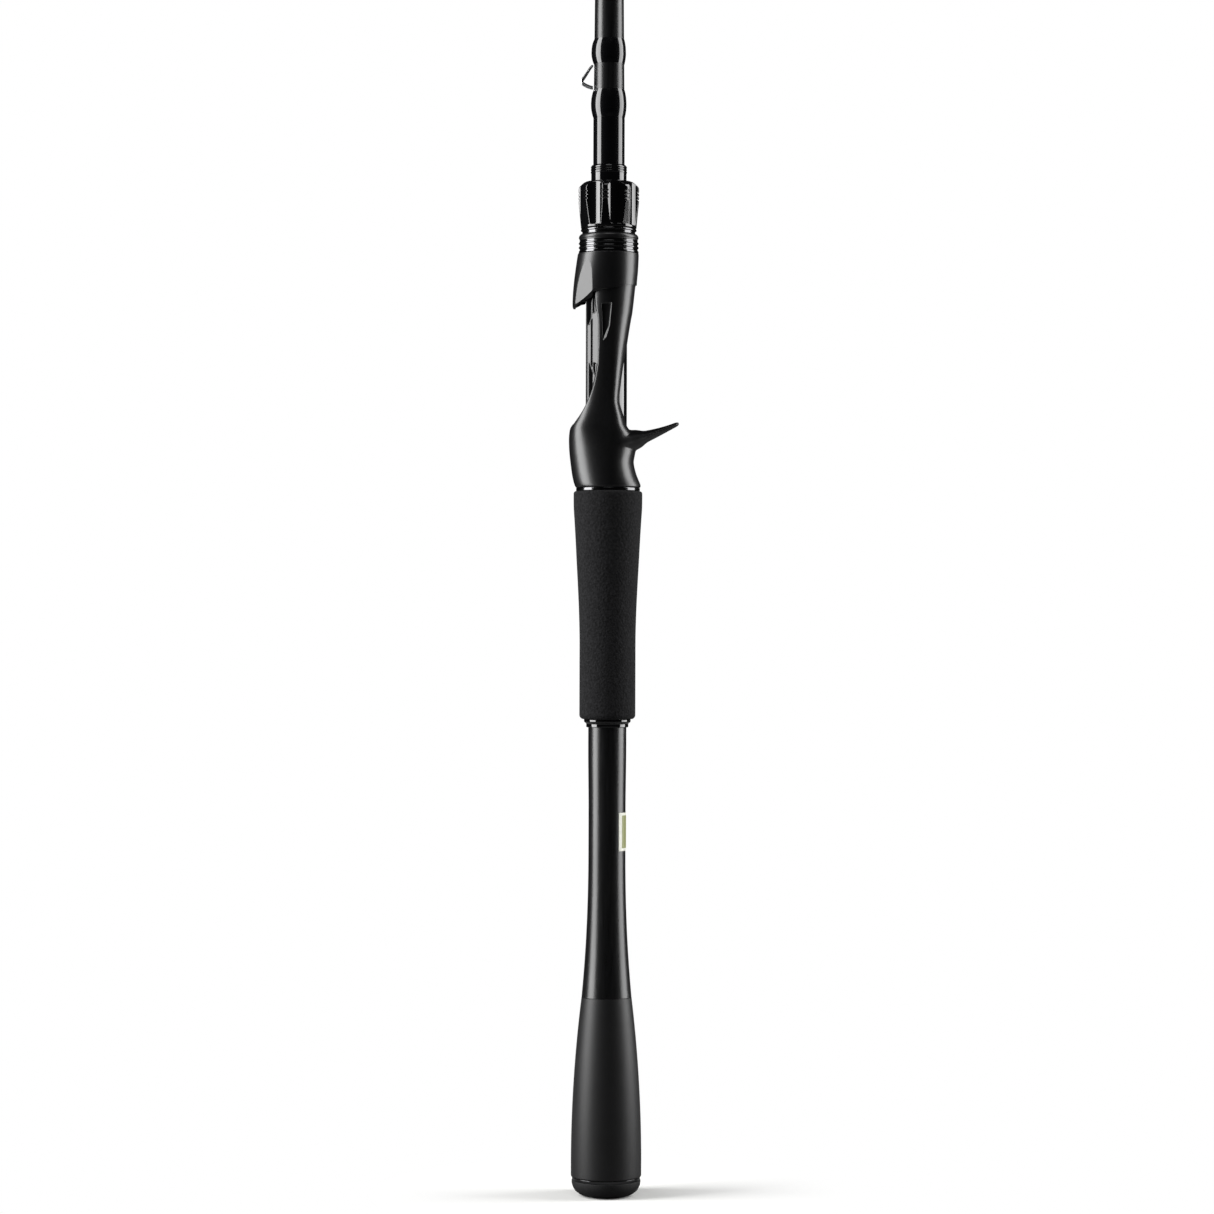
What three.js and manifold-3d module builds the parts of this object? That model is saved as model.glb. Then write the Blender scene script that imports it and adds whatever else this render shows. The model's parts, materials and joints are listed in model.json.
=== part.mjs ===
// Handle section of a casting rod: butt, grips, trigger reel seat with its hood and locking nut,
// the foot of the blank and the spigot that takes the next section.
// Millimetres. +Z runs up the rod from the butt to the tip, +X is the trigger side, and the reel sits
// on the -X side. The origin is the middle of the flat on the butt cap.
import * as THREE from 'three';
import { mergeVertices } from 'three/addons/utils/BufferGeometryUtils.js';
import Module from 'manifold-3d';

const wasm = await Module();
wasm.setup();

// ---- Driving sizes -------------------------------------------------------------------------------

const glue = 0.1; // film between parts that are glued or stacked
const running = 0.2; // clearance between parts that slide or turn on each other
const closeFit = 0.04; // clearance of a binding on the blank
const fine = 24; // sides of the wide turned parts
const plain = 16; // sides of the narrow turned parts

// Blank, and the joint to the next section.
const blank = { buttRadius: 6.41, taper: 0.0088, inserted: 60, beyondWraps: 60.1, wall: 0.85 };
const spigot = { length: 50, inserted: 28, taper: 0.0045 };
const endWrap = { length: 22, build: 0.45 };
const frontCheck = { height: 6.9, wall: 1.15 };
const sleeve = { length: 19.6, build: 0.17 };
const lowerWrap = { length: 11.8, build: 0.94 };
const upperWrap = { length: 10.4, build: 0.79 };
const bareBlank = 10.9; // blank left bare between the two wraps
const keeper = { wire: 0.45, reach: 5.8, spread: 2.5, eye: 0.85 };

// Handle tube, from the butt to the middle of the seat's barrel, and what is fixed to it below the seat.
const tube = {
  wall: 1.2, fitOverBlank: 0.21, gripStep: 0.18, waistRelief: 0.05, exposed: 113.3, flare: 62.5,
};
const buttCap = { height: 6.6, inset: 0.35, faceRadius: 8, stemRadius: 4, stemLength: 9 };
const buttRing = { height: 1.2, inset: 0.5 };
const buttPlug = { length: 13, step: 2 };
const buttGrip = { length: 75.2, radius: 14.8, topRadius: 10.5, skin: 1.1, edge: 1 };
const label = { height: 16, rise: 61.6, arc: 1.8, film: 0.12 };
const rearCheck = { height: 3.3, wall: 0.74, lipWall: 1.7, lipHeight: 1.1 };
const rearGrip = { length: 95.7, wall: 3.66, topWall: 6.33, flare: 54, edge: 2.4 };
const seatRing = { height: 1.2, inset: 0.1 };

// The reel seat: one moulding with the trigger, the reel's deck and the threaded barrel. Its palm swell
// keeps its length, and the deck's stretch sets how long a reel foot it takes.
const seat = { palm: 36, deck: 50.1, arborWall: 1.1, arborLength: 10, cheekWall: 2.88, drawnAround: 7.82 };
const deck = {
  wall: 0.98, rail: 0.6, railWidth: 0.9, halfWidth: 6.9, edge: 0.7, foot: 18.5, cheekLine: 4.4,
};
const heel = { room: 3.9, halfWidth: 6.9, mouthRise: 26.5 }; // fixed pocket for the back of the reel foot
const trigger = {
  reach: 29.7, rise: 27.2, rootRise: 20.6, tipThickness: 0.8, tipWidth: 2.6, rootWidth: 6.2,
};
const barrel = { wall: 1.58, tubeInside: 15 };
const recess = { rise: 61.3, height: 15.6, width: 4.5, depth: 0.9, offset: -1.05 };

// Hood, the rings it carries, and the locking nut.
const hood = {
  lip: 22, roof: 1.5, travel: 10.5, footRoom: 4.45, wall: 1.15, edgeDrop: 1.1, slant: 3.6,
};
const hoodBand = { height: 5.2, wall: 2.85, grooveDepth: 0.28 };
const thrustRing = { height: 2.7, wall: 2.8 };
const washer = { height: 2.1, wall: 2, neck: 1.1, neckWall: 1.4 };
const nut = {
  height: 19.5, footWall: 2.05, rib: 1.05, lobes: 8, valley: 0.45, valleyRadius: 11.2, foot: 1, cap: 2.4,
  crown: 2.2, facetTop: 8.8, facetFoot: 0.1, facetHead: 0.3,
};
const nutThread = { wall: 1 };
const firstValley = THREE.MathUtils.degToRad(15.5); // turned from -Y towards +X

// ---- Radii that follow from them -------------------------------------------------------------------

const tubeInSeat = blank.buttRadius + tube.fitOverBlank + tube.wall;
const tubeInGrips = tubeInSeat + tube.gripStep;
const tubeWaist = tubeInSeat - tube.waistRelief;
const seatBore = tubeInSeat + glue;
const arborRadius = tubeInGrips + glue + seat.arborWall;
const cheekWidth = seatBore + seat.cheekWall;
const deckFloor = seatBore + deck.wall;
const deckRail = deckFloor + deck.rail;
const barrelRadius = seatBore + barrel.wall;
const slidingBore = barrelRadius + running; // bore of everything that moves along the barrel
const bindingBore = blank.buttRadius + closeFit;

// ---- Heights of the stack, each worked out from the part below it ----------------------------------

const z = {};
z.ring = buttCap.height + glue;
z.grip = z.ring + buttRing.height + glue;
z.tube = z.grip + buttGrip.length; // the handle tube shows from here
z.check = z.tube + tube.exposed;
z.rearGrip = z.check + rearCheck.height + glue;
z.seatRing = z.rearGrip + rearGrip.length + glue;
z.seat = z.seatRing + seatRing.height + glue;
z.shoulder = z.seat + seat.palm + seat.deck; // top of the seat's body, foot of its barrel
z.hoodRoof = z.shoulder + hood.travel + running;
z.hoodTop = z.hoodRoof + hood.roof;
z.hoodLip = z.hoodRoof - hood.lip;
z.band = z.hoodTop + glue;
z.thrust = z.band + hoodBand.height + glue;
z.washer = z.thrust + thrustRing.height + glue;
z.nut = z.washer + washer.height + running;
z.frontCheck = z.nut + nut.height + running;
z.sleeve = z.frontCheck + frontCheck.height + glue;
z.lowerWrap = z.sleeve + sleeve.length + glue;
z.bare = z.lowerWrap + lowerWrap.length;
z.upperWrap = z.bare + bareBlank;
z.upperWrapTop = z.upperWrap + upperWrap.length;
z.mouth = z.upperWrapTop + blank.beyondWraps; // open end of the blank
z.spigotEnd = z.mouth + spigot.length;
z.tubeEnd = z.shoulder + barrel.tubeInside; // the handle tube ends inside the seat's barrel
z.barrelTop = z.frontCheck - glue;

// ---- Shape helpers -------------------------------------------------------------------------------

const turnUp = (geometry) => geometry.rotateX(Math.PI / 2); // three.js turns about +Y, the rod about +Z
const points = (pairs) => pairs.map(([r, height]) => new THREE.Vector2(r, height));

// A solid turned part: outer profile from the axis at the bottom to the axis at the top.
function turned(outer, sides = fine) {
  return turnUp(new THREE.LatheGeometry(points(outer), sides));
}

// A turned part with a hole through it. Both profiles run upwards.
function turnedRing(outer, bore, sides = fine) {
  const loop = [...outer, ...[...bore].reverse(), outer[0]];
  return turnUp(new THREE.LatheGeometry(points(loop), sides));
}

// A straight bore between two heights.
const straight = (radius, from, to) => [[radius, from], [radius, to]];

// Linear reading of a table of rows whose first column rises.
function reading(rows, at) {
  const last = rows.findIndex((row) => row[0] >= at);
  if (last <= 0) return (last < 0 ? rows[rows.length - 1] : rows[0]).slice(1);
  const low = rows[last - 1];
  const high = rows[last];
  const share = (at - low[0]) / (high[0] - low[0]);
  return low.slice(1).map((value, i) => THREE.MathUtils.lerp(value, high[i + 1], share));
}

// A column between two heights, whose outline at each height is an egg set by section(height):
// how far it reaches to -X and +X, its half width along Y, and how square its corners are.
function column(from, to, sides, steps, section) {
  const geometry = turnUp(new THREE.CylinderGeometry(1, 1, 1, sides, steps));
  const place = geometry.attributes.position;
  for (let i = 0; i < place.count; i += 1) {
    const height = THREE.MathUtils.lerp(from, to, place.getZ(i) + 0.5);
    const [left, right, half, squareness] = section(height);
    const [ux, uy] = [place.getX(i), place.getY(i)];
    const corner = (Math.abs(ux) ** squareness + Math.abs(uy) ** squareness) ** (1 / squareness);
    const swell = corner === 0 ? 0 : Math.hypot(ux, uy) / corner;
    place.setXYZ(i, (ux > 0 ? right : left) * ux * swell, half * uy * swell, height);
  }
  return geometry;
}

// A prism: an outline in the plane of the rod and the trigger (X and Z), as wide as asked along Y.
function sidePrism(outline, halfWidth) {
  const shape = new THREE.Shape(points(outline));
  const geometry = new THREE.ExtrudeGeometry(shape, { depth: 2 * halfWidth, bevelEnabled: false });
  return geometry.rotateX(Math.PI / 2).translate(0, halfWidth, 0);
}

// A prism: an outline across the rod (X and Y), between two heights.
function crossPrism(outline, from, to) {
  const shape = new THREE.Shape(points(outline));
  return new THREE.ExtrudeGeometry(shape, { depth: to - from, bevelEnabled: false }).translate(0, 0, from);
}

const block = (low, high) => {
  const size = high.map((value, i) => value - low[i]);
  return new THREE.BoxGeometry(...size).translate(...low.map((value, i) => value + size[i] / 2));
};

// A closed geometry as a manifold-3d solid, without the faces that shrink to nothing at a pole.
function solid(geometry) {
  const bare = new THREE.BufferGeometry().setAttribute('position', geometry.attributes.position.clone());
  bare.setIndex(geometry.index);
  const merged = mergeVertices(bare, 1e-4);
  const corners = merged.index.array;
  const kept = [];
  for (let i = 0; i < corners.length; i += 3) {
    const [a, b, c] = [corners[i], corners[i + 1], corners[i + 2]];
    if (a !== b && b !== c && c !== a) kept.push(a, b, c);
  }
  return new wasm.Manifold(new wasm.Mesh({
    numProp: 3,
    vertProperties: merged.attributes.position.array,
    triVerts: new Uint32Array(kept),
  }));
}

function geometryOf(manifold) {
  const mesh = manifold.getMesh();
  const geometry = new THREE.BufferGeometry();
  geometry.setAttribute('position', new THREE.BufferAttribute(mesh.vertProperties, 3));
  geometry.setIndex(new THREE.BufferAttribute(mesh.triVerts, 1));
  geometry.computeVertexNormals();
  return geometry;
}

// ---- Materials -----------------------------------------------------------------------------------

function finish(color, roughness, metalness = 0) {
  return new THREE.MeshStandardMaterial({ color, roughness, metalness });
}
const materials = {
  rubber: finish(0x17181a, 0.85),
  glossTrim: finish(0x08080a, 0.1, 0.6),
  buttSkin: finish(0x242425, 0.55),
  carbon: finish(0x0c0c0e, 0.22),
  foam: finish(0x1d1d1f, 0.95),
  moulding: finish(0x141416, 0.38),
  gloss: finish(0x070708, 0.08),
  filler: finish(0x4a4740, 0.8),
  paper: finish(0xd9d8c4, 0.6),
  epoxy: finish(0x060607, 0.05),
  steel: finish(0xb9bbbd, 0.25, 1),
};

const parts = {};
const add = (name, geometry, material) => {
  const mesh = new THREE.Mesh(geometry, material);
  mesh.name = name;
  parts[name] = mesh;
};

// ---- Butt ----------------------------------------------------------------------------------------

// Outer radius of the butt grip: full at the bottom, falling away faster and faster towards the top.
function gripRadius(height) {
  const share = Math.max(0, (height - z.grip - 5) / (buttGrip.length - 5));
  return buttGrip.radius - (buttGrip.radius - buttGrip.topRadius) * share ** 2;
}
const skinBore = (height) => gripRadius(height) - buttGrip.skin;
const tubeInGrip = (height) => skinBore(height) - glue;
const tubeFoot = z.grip + 1;
const plugRadius = tubeInGrip(tubeFoot + buttPlug.length) - tube.wall - glue;

function makeButt() {
  const round = Math.PI / 2;
  const capRadius = buttGrip.radius - buttCap.inset;
  const cap = [[0, 0], [buttCap.faceRadius, 0]];
  for (let i = 1; i <= 5; i += 1) {
    const turn = (round * i) / 5;
    cap.push([
      buttCap.faceRadius + (capRadius - buttCap.faceRadius) * Math.sin(turn),
      buttCap.height * 0.9 * (1 - Math.cos(turn)),
    ]);
  }
  cap.push([capRadius, buttCap.height], [buttCap.stemRadius, buttCap.height],
    [buttCap.stemRadius, buttCap.height + buttCap.stemLength], [0, buttCap.height + buttCap.stemLength]);
  add('butt_cap', turned(cap), materials.rubber);

  const stepRadius = plugRadius - buttPlug.step;
  const ringRadius = buttGrip.radius - buttRing.inset;
  add('butt_trim_ring', turnedRing(straight(ringRadius, z.ring, z.ring + buttRing.height),
    straight(stepRadius + glue, z.ring, z.ring + buttRing.height)), materials.glossTrim);

  const plugTop = tubeFoot + buttPlug.length;
  const plug = [[stepRadius, z.ring], [stepRadius, tubeFoot], [plugRadius, tubeFoot], [plugRadius, plugTop]];
  add('butt_plug', turnedRing(plug, straight(buttCap.stemRadius + glue, z.ring, plugTop)), materials.filler);

  const steps = 8;
  const outer = [[buttGrip.radius - buttGrip.edge * 0.4, z.grip], [buttGrip.radius, z.grip + buttGrip.edge]];
  const bore = [[skinBore(z.grip), z.grip]];
  for (let i = 1; i <= steps; i += 1) {
    const height = z.grip + (buttGrip.length * i) / steps;
    outer.push([gripRadius(height), height]);
    bore.push([skinBore(height), height]);
  }
  add('butt_grip', turnedRing(outer, bore), materials.buttSkin);
}

// ---- Handle tube, from inside the butt grip to the middle of the seat's barrel ------------------------

// Outer radius where the tube shows: a trumpet flare at the butt, a waist, then the straight part.
function tubeRadius(height) {
  const flare = Math.max(0, (z.tube + tube.flare - height) / tube.flare);
  const swell = THREE.MathUtils.smoothstep(height, z.check - 35, z.check - 8);
  return tubeWaist + (buttGrip.topRadius - tubeWaist) * flare ** 2.2 + (tubeInGrips - tubeWaist) * swell;
}

function makeHandleTube() {
  const outer = [];
  const hidden = 7; // steps under the butt grip
  for (let i = 0; i <= hidden; i += 1) {
    const height = THREE.MathUtils.lerp(tubeFoot, z.tube + glue, i / hidden);
    outer.push([tubeInGrip(Math.min(height, z.tube)), height]);
  }
  const flared = [0, 0.11, 0.22, 0.35, 0.5, 0.66, 0.83, 1].map((share) => z.tube + glue + tube.flare * share);
  const swelling = [35, 28, 21, 14, 8].map((below) => z.check - below);
  for (const height of [...flared, ...swelling]) outer.push([tubeRadius(height), height]);
  outer.push([tubeInGrips, z.seatRing], [tubeInSeat, z.seat + 3], [tubeInSeat, z.tubeEnd]);
  const bore = outer.filter((row, i) => i <= 2 || (i % 2 === 0 && i !== hidden + 1) || i > outer.length - 4)
    .map(([r, height]) => [r - tube.wall, height]);
  add('handle_tube', turnedRing(outer, bore), materials.carbon);

  const low = z.tube + label.rise;
  const inner = tubeRadius(low) + 0.1;
  const shape = new THREE.Shape();
  shape.absarc(0, 0, inner + label.film, -label.arc / 2, label.arc / 2, false);
  shape.absarc(0, 0, inner, label.arc / 2, -label.arc / 2, true);
  const settings = { depth: label.height, bevelEnabled: false, curveSegments: 8 };
  const strip = new THREE.ExtrudeGeometry(shape, settings);
  add('shaft_label', strip.translate(0, 0, low), materials.paper);
}

// ---- Rear grip and its trim ------------------------------------------------------------------------

function makeRearGrip() {
  const bore = tubeInGrips + glue;
  const checkTop = z.check + rearCheck.height;
  const lipFoot = checkTop - rearCheck.lipHeight;
  const [checkRadius, lipRadius] = [bore + rearCheck.wall, bore + rearCheck.lipWall];
  const stepped = [[checkRadius - 0.3, z.check], [checkRadius, z.check + 0.3], [checkRadius, lipFoot - 0.6],
    [lipRadius - 0.3, lipFoot], [lipRadius, lipFoot + 0.4], [lipRadius, checkTop]];
  add('rear_check', turnedRing(stepped, straight(bore, z.check, checkTop)), materials.gloss);

  const top = z.rearGrip + rearGrip.length;
  const [slim, full] = [bore + rearGrip.wall, bore + rearGrip.topWall];
  const outer = [[slim - 1.1, z.rearGrip], [slim - 0.35, z.rearGrip + rearGrip.edge * 0.4],
    [slim, z.rearGrip + rearGrip.edge], [slim, top - rearGrip.flare - 6]];
  for (const [share, rise] of [[0.15, 0.26], [0.36, 0.46], [0.64, 0.72], [0.88, 0.87], [1, 0.97]]) {
    outer.push([slim + (full - slim) * share, top - rearGrip.flare - 6 + rearGrip.flare * rise]);
  }
  outer.push([full, top - 1.8], [full - 0.25, top - 0.7], [full - 0.9, top]);
  add('rear_grip', turnedRing(outer, straight(bore, z.rearGrip, top)), materials.foam);

  const ringRadius = seatBody[0][2] - seatRing.inset;
  const ringTop = z.seatRing + seatRing.height;
  const crown = 0.2;
  const crowned = [[ringRadius - crown, z.seatRing], [ringRadius, (z.seatRing + ringTop) / 2],
    [ringRadius - crown, ringTop]];
  add('seat_trim_ring', turnedRing(crowned, straight(bore, z.seatRing, ringTop)), materials.glossTrim);

  const arborTop = z.seat + seat.arborLength - glue;
  const arborOutside = straight(arborRadius - glue, z.seat, arborTop);
  add('rear_arbor', turnedRing(arborOutside, straight(bore, z.seat, arborTop)), materials.filler);
}

// ---- Reel seat -------------------------------------------------------------------------------------

// Rise along the deck's stretch, as a share of it.
const along = (share) => seat.palm + seat.deck * share;

// Rise above the seat's foot, reach to the reel side, reach to the trigger side, half width, squareness.
// The reaches are drawn around one size of tube, and grow with it.
const thicker = tubeInSeat - seat.drawnAround;
const overDeckEdge = deckRail + 0.5 - thicker;
const seatBody = [
  [0, 13.5, 13.5, 13.4, 2],
  [1, 14, 13.75, 13.5, 2],
  [3, 14.6, 12.95, 13.5, 2],
  [6, 15.2, 11.8, 13.4, 2],
  [10.5, 15.8, 10.8, 13.3, 2.05],
  [14, 16.2, 11.3, 13.2, 2.1],
  [18, 16.45, 11.9, 13, 2.2],
  [22, 16.4, 10.6, 12.8, 2.6],
  [26, 15.7, 7.8, 12.5, 3],
  [30, 13.9, 6.2, 12, 3],
  [seat.palm, 12, 4.9, 11.3, 2.8],
  [along(0.14), 10.5, 5.4, 10.9, 2.7],
  [along(0.28), overDeckEdge, 6.4, cheekWidth - thicker, 2.6],
  [along(0.49), overDeckEdge, 7.9, cheekWidth - thicker, 2.4],
  [along(0.68), overDeckEdge, 9.4, cheekWidth - thicker + 0.05, 2.2],
  [along(0.75), overDeckEdge, 10.05, cheekWidth - thicker + 0.1, 2.15],
  [along(1), overDeckEdge, 11.45, cheekWidth - thicker + 0.35, 2.1],
].map(([rise, left, right, half, square]) => [rise, left + thicker, right + thicker, half + thicker, square]);
const seatTop = seatBody[seatBody.length - 1];

// The rim where each cheek ends towards the reel: reach to -X against rise, from the palm swell upwards.
const cheekRim = [
  [15.6, 27], [12.9, 29.2], [9.6, 33.6], [7.4, along(0.06)], [5.9, along(0.16)], [4.8, along(0.27)],
  [deck.cheekLine, along(0.36)], [deck.cheekLine, along(0.68)],
  [deck.cheekLine + 0.9, along(0.78)], [deck.cheekLine + 1.7, along(1) + 1],
];

// The trigger is a horn that leaves the seat towards +X and curls to the tip side as it thins.
function triggerHorn() {
  const spine = new THREE.QuadraticBezierCurve3(
    new THREE.Vector3(3, 0, z.seat + trigger.rootRise),
    new THREE.Vector3(trigger.reach * 0.5, 0, z.seat + trigger.rootRise + 0.6),
    new THREE.Vector3(trigger.reach, 0, z.seat + trigger.rise),
  );
  const { tipThickness, tipWidth, rootWidth } = trigger;
  // Share of the way out, half thickness, half width.
  const widths = [[0, 8, 7], [0.2, 6.6, 6.8], [0.35, 4, rootWidth], [0.5, 2.6, 5], [0.7, 1.7, 4.2],
    [0.9, 1, 3.2], [0.97, tipThickness, tipWidth], [1, tipThickness * 0.5, tipWidth * 0.6]];
  const geometry = turnUp(new THREE.CylinderGeometry(1, 1, 1, 12, 10));
  const place = geometry.attributes.position;
  for (let i = 0; i < place.count; i += 1) {
    const share = place.getZ(i) + 0.5;
    const centre = spine.getPoint(share);
    const tangent = spine.getTangent(share);
    const [thick, wide] = reading(widths, share);
    const out = place.getX(i) * thick;
    place.setXYZ(i, centre.x + tangent.z * out, place.getY(i) * wide, centre.z - tangent.x * out);
  }
  return geometry;
}

// The deck that the reel foot lies on: a floor between two rails, on bevelled shoulders.
function deckOutline() {
  const shoulder = deck.cheekLine + 2.6;
  const inner = deck.halfWidth - deck.railWidth;
  const sill = deck.halfWidth + deck.edge;
  const flank = cheekWidth - 0.7;
  const half = [[-deckFloor, 0], [-deckFloor, inner], [-deckRail, inner + 0.2], [-deckRail, deck.halfWidth],
    [-shoulder - 0.6, sill], [-shoulder, sill + 0.8], [-deck.cheekLine, flank], [0, flank]];
  const mirrored = half.slice(1).reverse().map(([x, y]) => [x, -y]);
  return [...mirrored, ...half];
}

// A tapering recess in the outside of each cheek, pointing towards the butt.
function cheekRecess(side) {
  const top = z.seat + recess.rise + recess.height;
  const [left, right] = [recess.offset - recess.width / 2, recess.offset + recess.width / 2];
  const outline = [[left, top], [left + 0.6, z.seat + recess.rise], [left + 1.1, z.seat + recess.rise],
    [right - 0.8, top - recess.height * 0.65], [right, top]];
  return sidePrism(outline, 2).translate(0, side * (cheekWidth - recess.depth + 2), 0);
}

function makeSeat() {
  const section = (height) => reading(seatBody, height - z.seat);
  const body = solid(column(z.seat, z.shoulder, 28, 26, section));
  const deckBlock = solid(crossPrism(deckOutline(), z.seat + deck.foot, z.shoulder));
  const tower = solid(turned([[0, z.shoulder - 5], [barrelRadius, z.shoulder - 5],
    [barrelRadius, z.barrelTop - 0.5], [barrelRadius - 0.5, z.barrelTop], [0, z.barrelTop]]));
  const arborTop = z.seat + seat.arborLength;
  const bore = solid(turned([[0, z.seat - 1], [arborRadius, z.seat - 1], [arborRadius, arborTop],
    [seatBore, arborTop], [seatBore, z.barrelTop + 1], [0, z.barrelTop + 1]]));
  const roof = deckRail + heel.room;
  const far = 2 * buttGrip.radius; // well outside the seat
  const [low, high] = [[-heel.halfWidth, z.seat + deck.foot], [heel.halfWidth, z.shoulder + 1]];
  const heelPocket = solid(block([-roof, ...low], [-deckFloor, ...high]))
    .add(solid(block([-far, low[0], z.seat + heel.mouthRise], [-deckFloor, ...high])));
  const rim = cheekRim.map(([reach, rise]) => [-reach, z.seat + rise]);
  const overDeck = solid(sidePrism([...rim, [-far, z.shoulder + 1], [-far, rim[0][1]]], far));
  let shape = body.subtract(heelPocket).subtract(overDeck);
  shape = shape.add(deckBlock).add(tower).add(solid(triggerHorn()));
  shape = shape.subtract(bore);
  for (const side of [-1, 1]) shape = shape.subtract(solid(cheekRecess(side)));
  add('reel_seat', geometryOf(shape), materials.moulding);

  const [foot, top] = [z.tubeEnd + glue, z.barrelTop - 0.5];
  const blankBore = straight(blank.buttRadius + glue, foot, top);
  add('front_arbor', turnedRing(straight(tubeInSeat, foot, top), blankBore, plain), materials.filler);
}

// ---- Sliding hood with the rings it carries ----------------------------------------------------------

// The hood's outside: rise above its lip, how far it stays inside the lip's reach to the reel side, wall
// over the seat on the trigger side, wall over it on each flank, squareness.
const lipReach = deckRail + hood.footRoom + hood.wall;
const hoodBody = [
  [0, 0.4, 0.1, 0.65, 2.2],
  [1.2, 0, 0.1, 0.65, 2.2],
  [6, 0.1, 0.15, 0.7, 2.15],
  [11, 0.5, 0.25, 0.85, 2.1],
  [16, 1.1, 0.7, 1.05, 2.05],
  [21, 1.8, 0.95, 1.15, 2],
  [hood.lip + hood.roof, 2.2, 1, 1.15, 2],
].map(([rise, inside, wall, flank, squareness]) => [rise, lipReach - inside, seatTop[2] + running + wall,
  seatTop[3] + running + flank, squareness]);

// The hood's lower edge: level round the trigger side and dropping to a rounded tongue on the reel side.
function hoodTrim() {
  const edge = z.shoulder - hood.edgeDrop;
  const drop = edge - hood.slant;
  const [below, far] = [z.hoodLip - 3, 2 * lipReach];
  const across = [[-far, below]];
  for (let i = -6; i <= 6; i += 1) {
    const y = (i / 6) * cheekWidth * 1.06;
    across.push([y, z.hoodLip + 0.1 + (drop - z.hoodLip) * (y / cheekWidth) ** 2 * 1.06]);
  }
  across.push([far, below]);
  const tongue = sidePrism(across, far).rotateZ(Math.PI / 2);
  const side = -deck.cheekLine - 2.3;
  const level = sidePrism([[side, below], [far, below], [far, edge + hood.slant * 0.45], [side, drop]], far);
  return solid(tongue).add(solid(level));
}

// Flat facet cut on each flank of the hood, between its round top and the tongue.
function hoodFacet(side) {
  const corners = [
    [lipReach - 5.8, cheekWidth - 1.7, hood.lip - 3.3],
    [lipReach - 8.25, cheekWidth + 0.1, 6.9],
    [lipReach - 1, cheekWidth - 5.6, 1.2],
  ].map(([reach, y, rise]) => new THREE.Vector3(-reach, y * side, z.hoodLip + rise));
  const normal = corners[1].clone().sub(corners[0]).cross(corners[2].clone().sub(corners[0])).normalize();
  if (normal.y * side < 0) normal.negate();
  const turn = new THREE.Quaternion().setFromUnitVectors(new THREE.Vector3(0, 0, 1), normal);
  const cut = new THREE.BoxGeometry(60, 60, 20).translate(0, 0, 10).applyQuaternion(turn);
  return solid(cut.translate(...corners[0].toArray()));
}

// Room for the front end of the reel foot, arched across and sloping in towards the roof.
function footPocket() {
  const roof = hood.wall - lipReach;
  const [low, high] = [z.hoodLip - 1, z.hoodRoof - 5.5];
  const across = [[0, deck.halfWidth], [-deckRail, deck.halfWidth], [roof + 2.4, deck.halfWidth - 0.8],
    [roof, deck.halfWidth - 3.2]];
  const mirrored = across.map(([x, y]) => [x, -y]);
  const arch = crossPrism([...across, ...mirrored.reverse()], low, z.hoodRoof);
  const slope = sidePrism([[roof, low], [0, low], [0, high], [roof + 1.65, high]], deck.halfWidth + 1);
  return solid(arch).intersect(solid(slope));
}

function makeHood() {
  const section = (height) => reading(hoodBody, height - z.hoodLip);
  // The cavity clears the seat's widest section and the squarest one that the hood slides over.
  const [, left, right, half] = seatTop;
  const lowest = z.shoulder - z.seat - hood.edgeDrop - hood.slant - hood.travel;
  const squareness = reading(seatBody, lowest)[3];
  const clear = [left + running, right + running, half + running, squareness];
  const cavity = solid(column(z.hoodLip - 1, z.hoodRoof, 28, 1, () => clear));
  // Room for the deck, level across from rail to rail.
  const room = running * 1.5;
  const overRails = deckOutline().filter(([x]) => x !== -deckFloor);
  const roomOutline = overRails.map(([x, y]) => [Math.min(0, x - room), y + Math.sign(y) * room]);
  const deckRoom = solid(crossPrism(roomOutline, z.hoodLip - 1, z.hoodRoof));
  const bore = solid(turned([[0, z.hoodLip], [slidingBore, z.hoodLip], [slidingBore, z.hoodTop + 1],
    [0, z.hoodTop + 1]]));
  let shape = solid(column(z.hoodLip, z.hoodTop, 28, 9, section));
  for (const side of [-1, 1]) shape = shape.subtract(hoodFacet(side));
  for (const cut of [cavity, footPocket(), deckRoom, bore, hoodTrim()]) shape = shape.subtract(cut);
  add('hood', geometryOf(shape), materials.moulding);
}

function makeHoodRings() {
  const ridge = slidingBore + hoodBand.wall;
  const groove = ridge - hoodBand.grooveDepth;
  const step = hoodBand.height / 10;
  const outer = [[groove, z.band]];
  for (const [from, to] of [[1, 2], [4, 5], [7, 8]]) {
    outer.push([groove, z.band + step * (from - 0.3)], [ridge, z.band + step * from]);
    outer.push([ridge, z.band + step * to], [groove, z.band + step * (to + 0.3)]);
  }
  outer.push([groove, z.band + hoodBand.height]);
  const bandBore = straight(slidingBore, z.band, z.band + hoodBand.height);
  add('hood_band', turnedRing(outer, bandBore), materials.glossTrim);

  const thrustTop = z.thrust + thrustRing.height;
  const thrust = slidingBore + thrustRing.wall;
  const rounded = [[thrust, z.thrust], [thrust, thrustTop - 0.8], [thrust - 0.35, thrustTop - 0.3],
    [thrust - 0.9, thrustTop]];
  const thrustBore = straight(slidingBore, z.thrust, thrustTop);
  add('thrust_ring', turnedRing(rounded, thrustBore), materials.moulding);

  const washerTop = z.washer + washer.height;
  const [neck, rim] = [slidingBore + washer.neckWall, slidingBore + washer.wall];
  const neckTop = z.washer + washer.neck;
  add('nut_washer', turnedRing([[neck, z.washer], [neck, neckTop], [rim, neckTop + 0.2], [rim, washerTop]],
    straight(slidingBore, z.washer, washerTop)), materials.glossTrim);
}

// ---- Locking nut -----------------------------------------------------------------------------------

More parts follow.
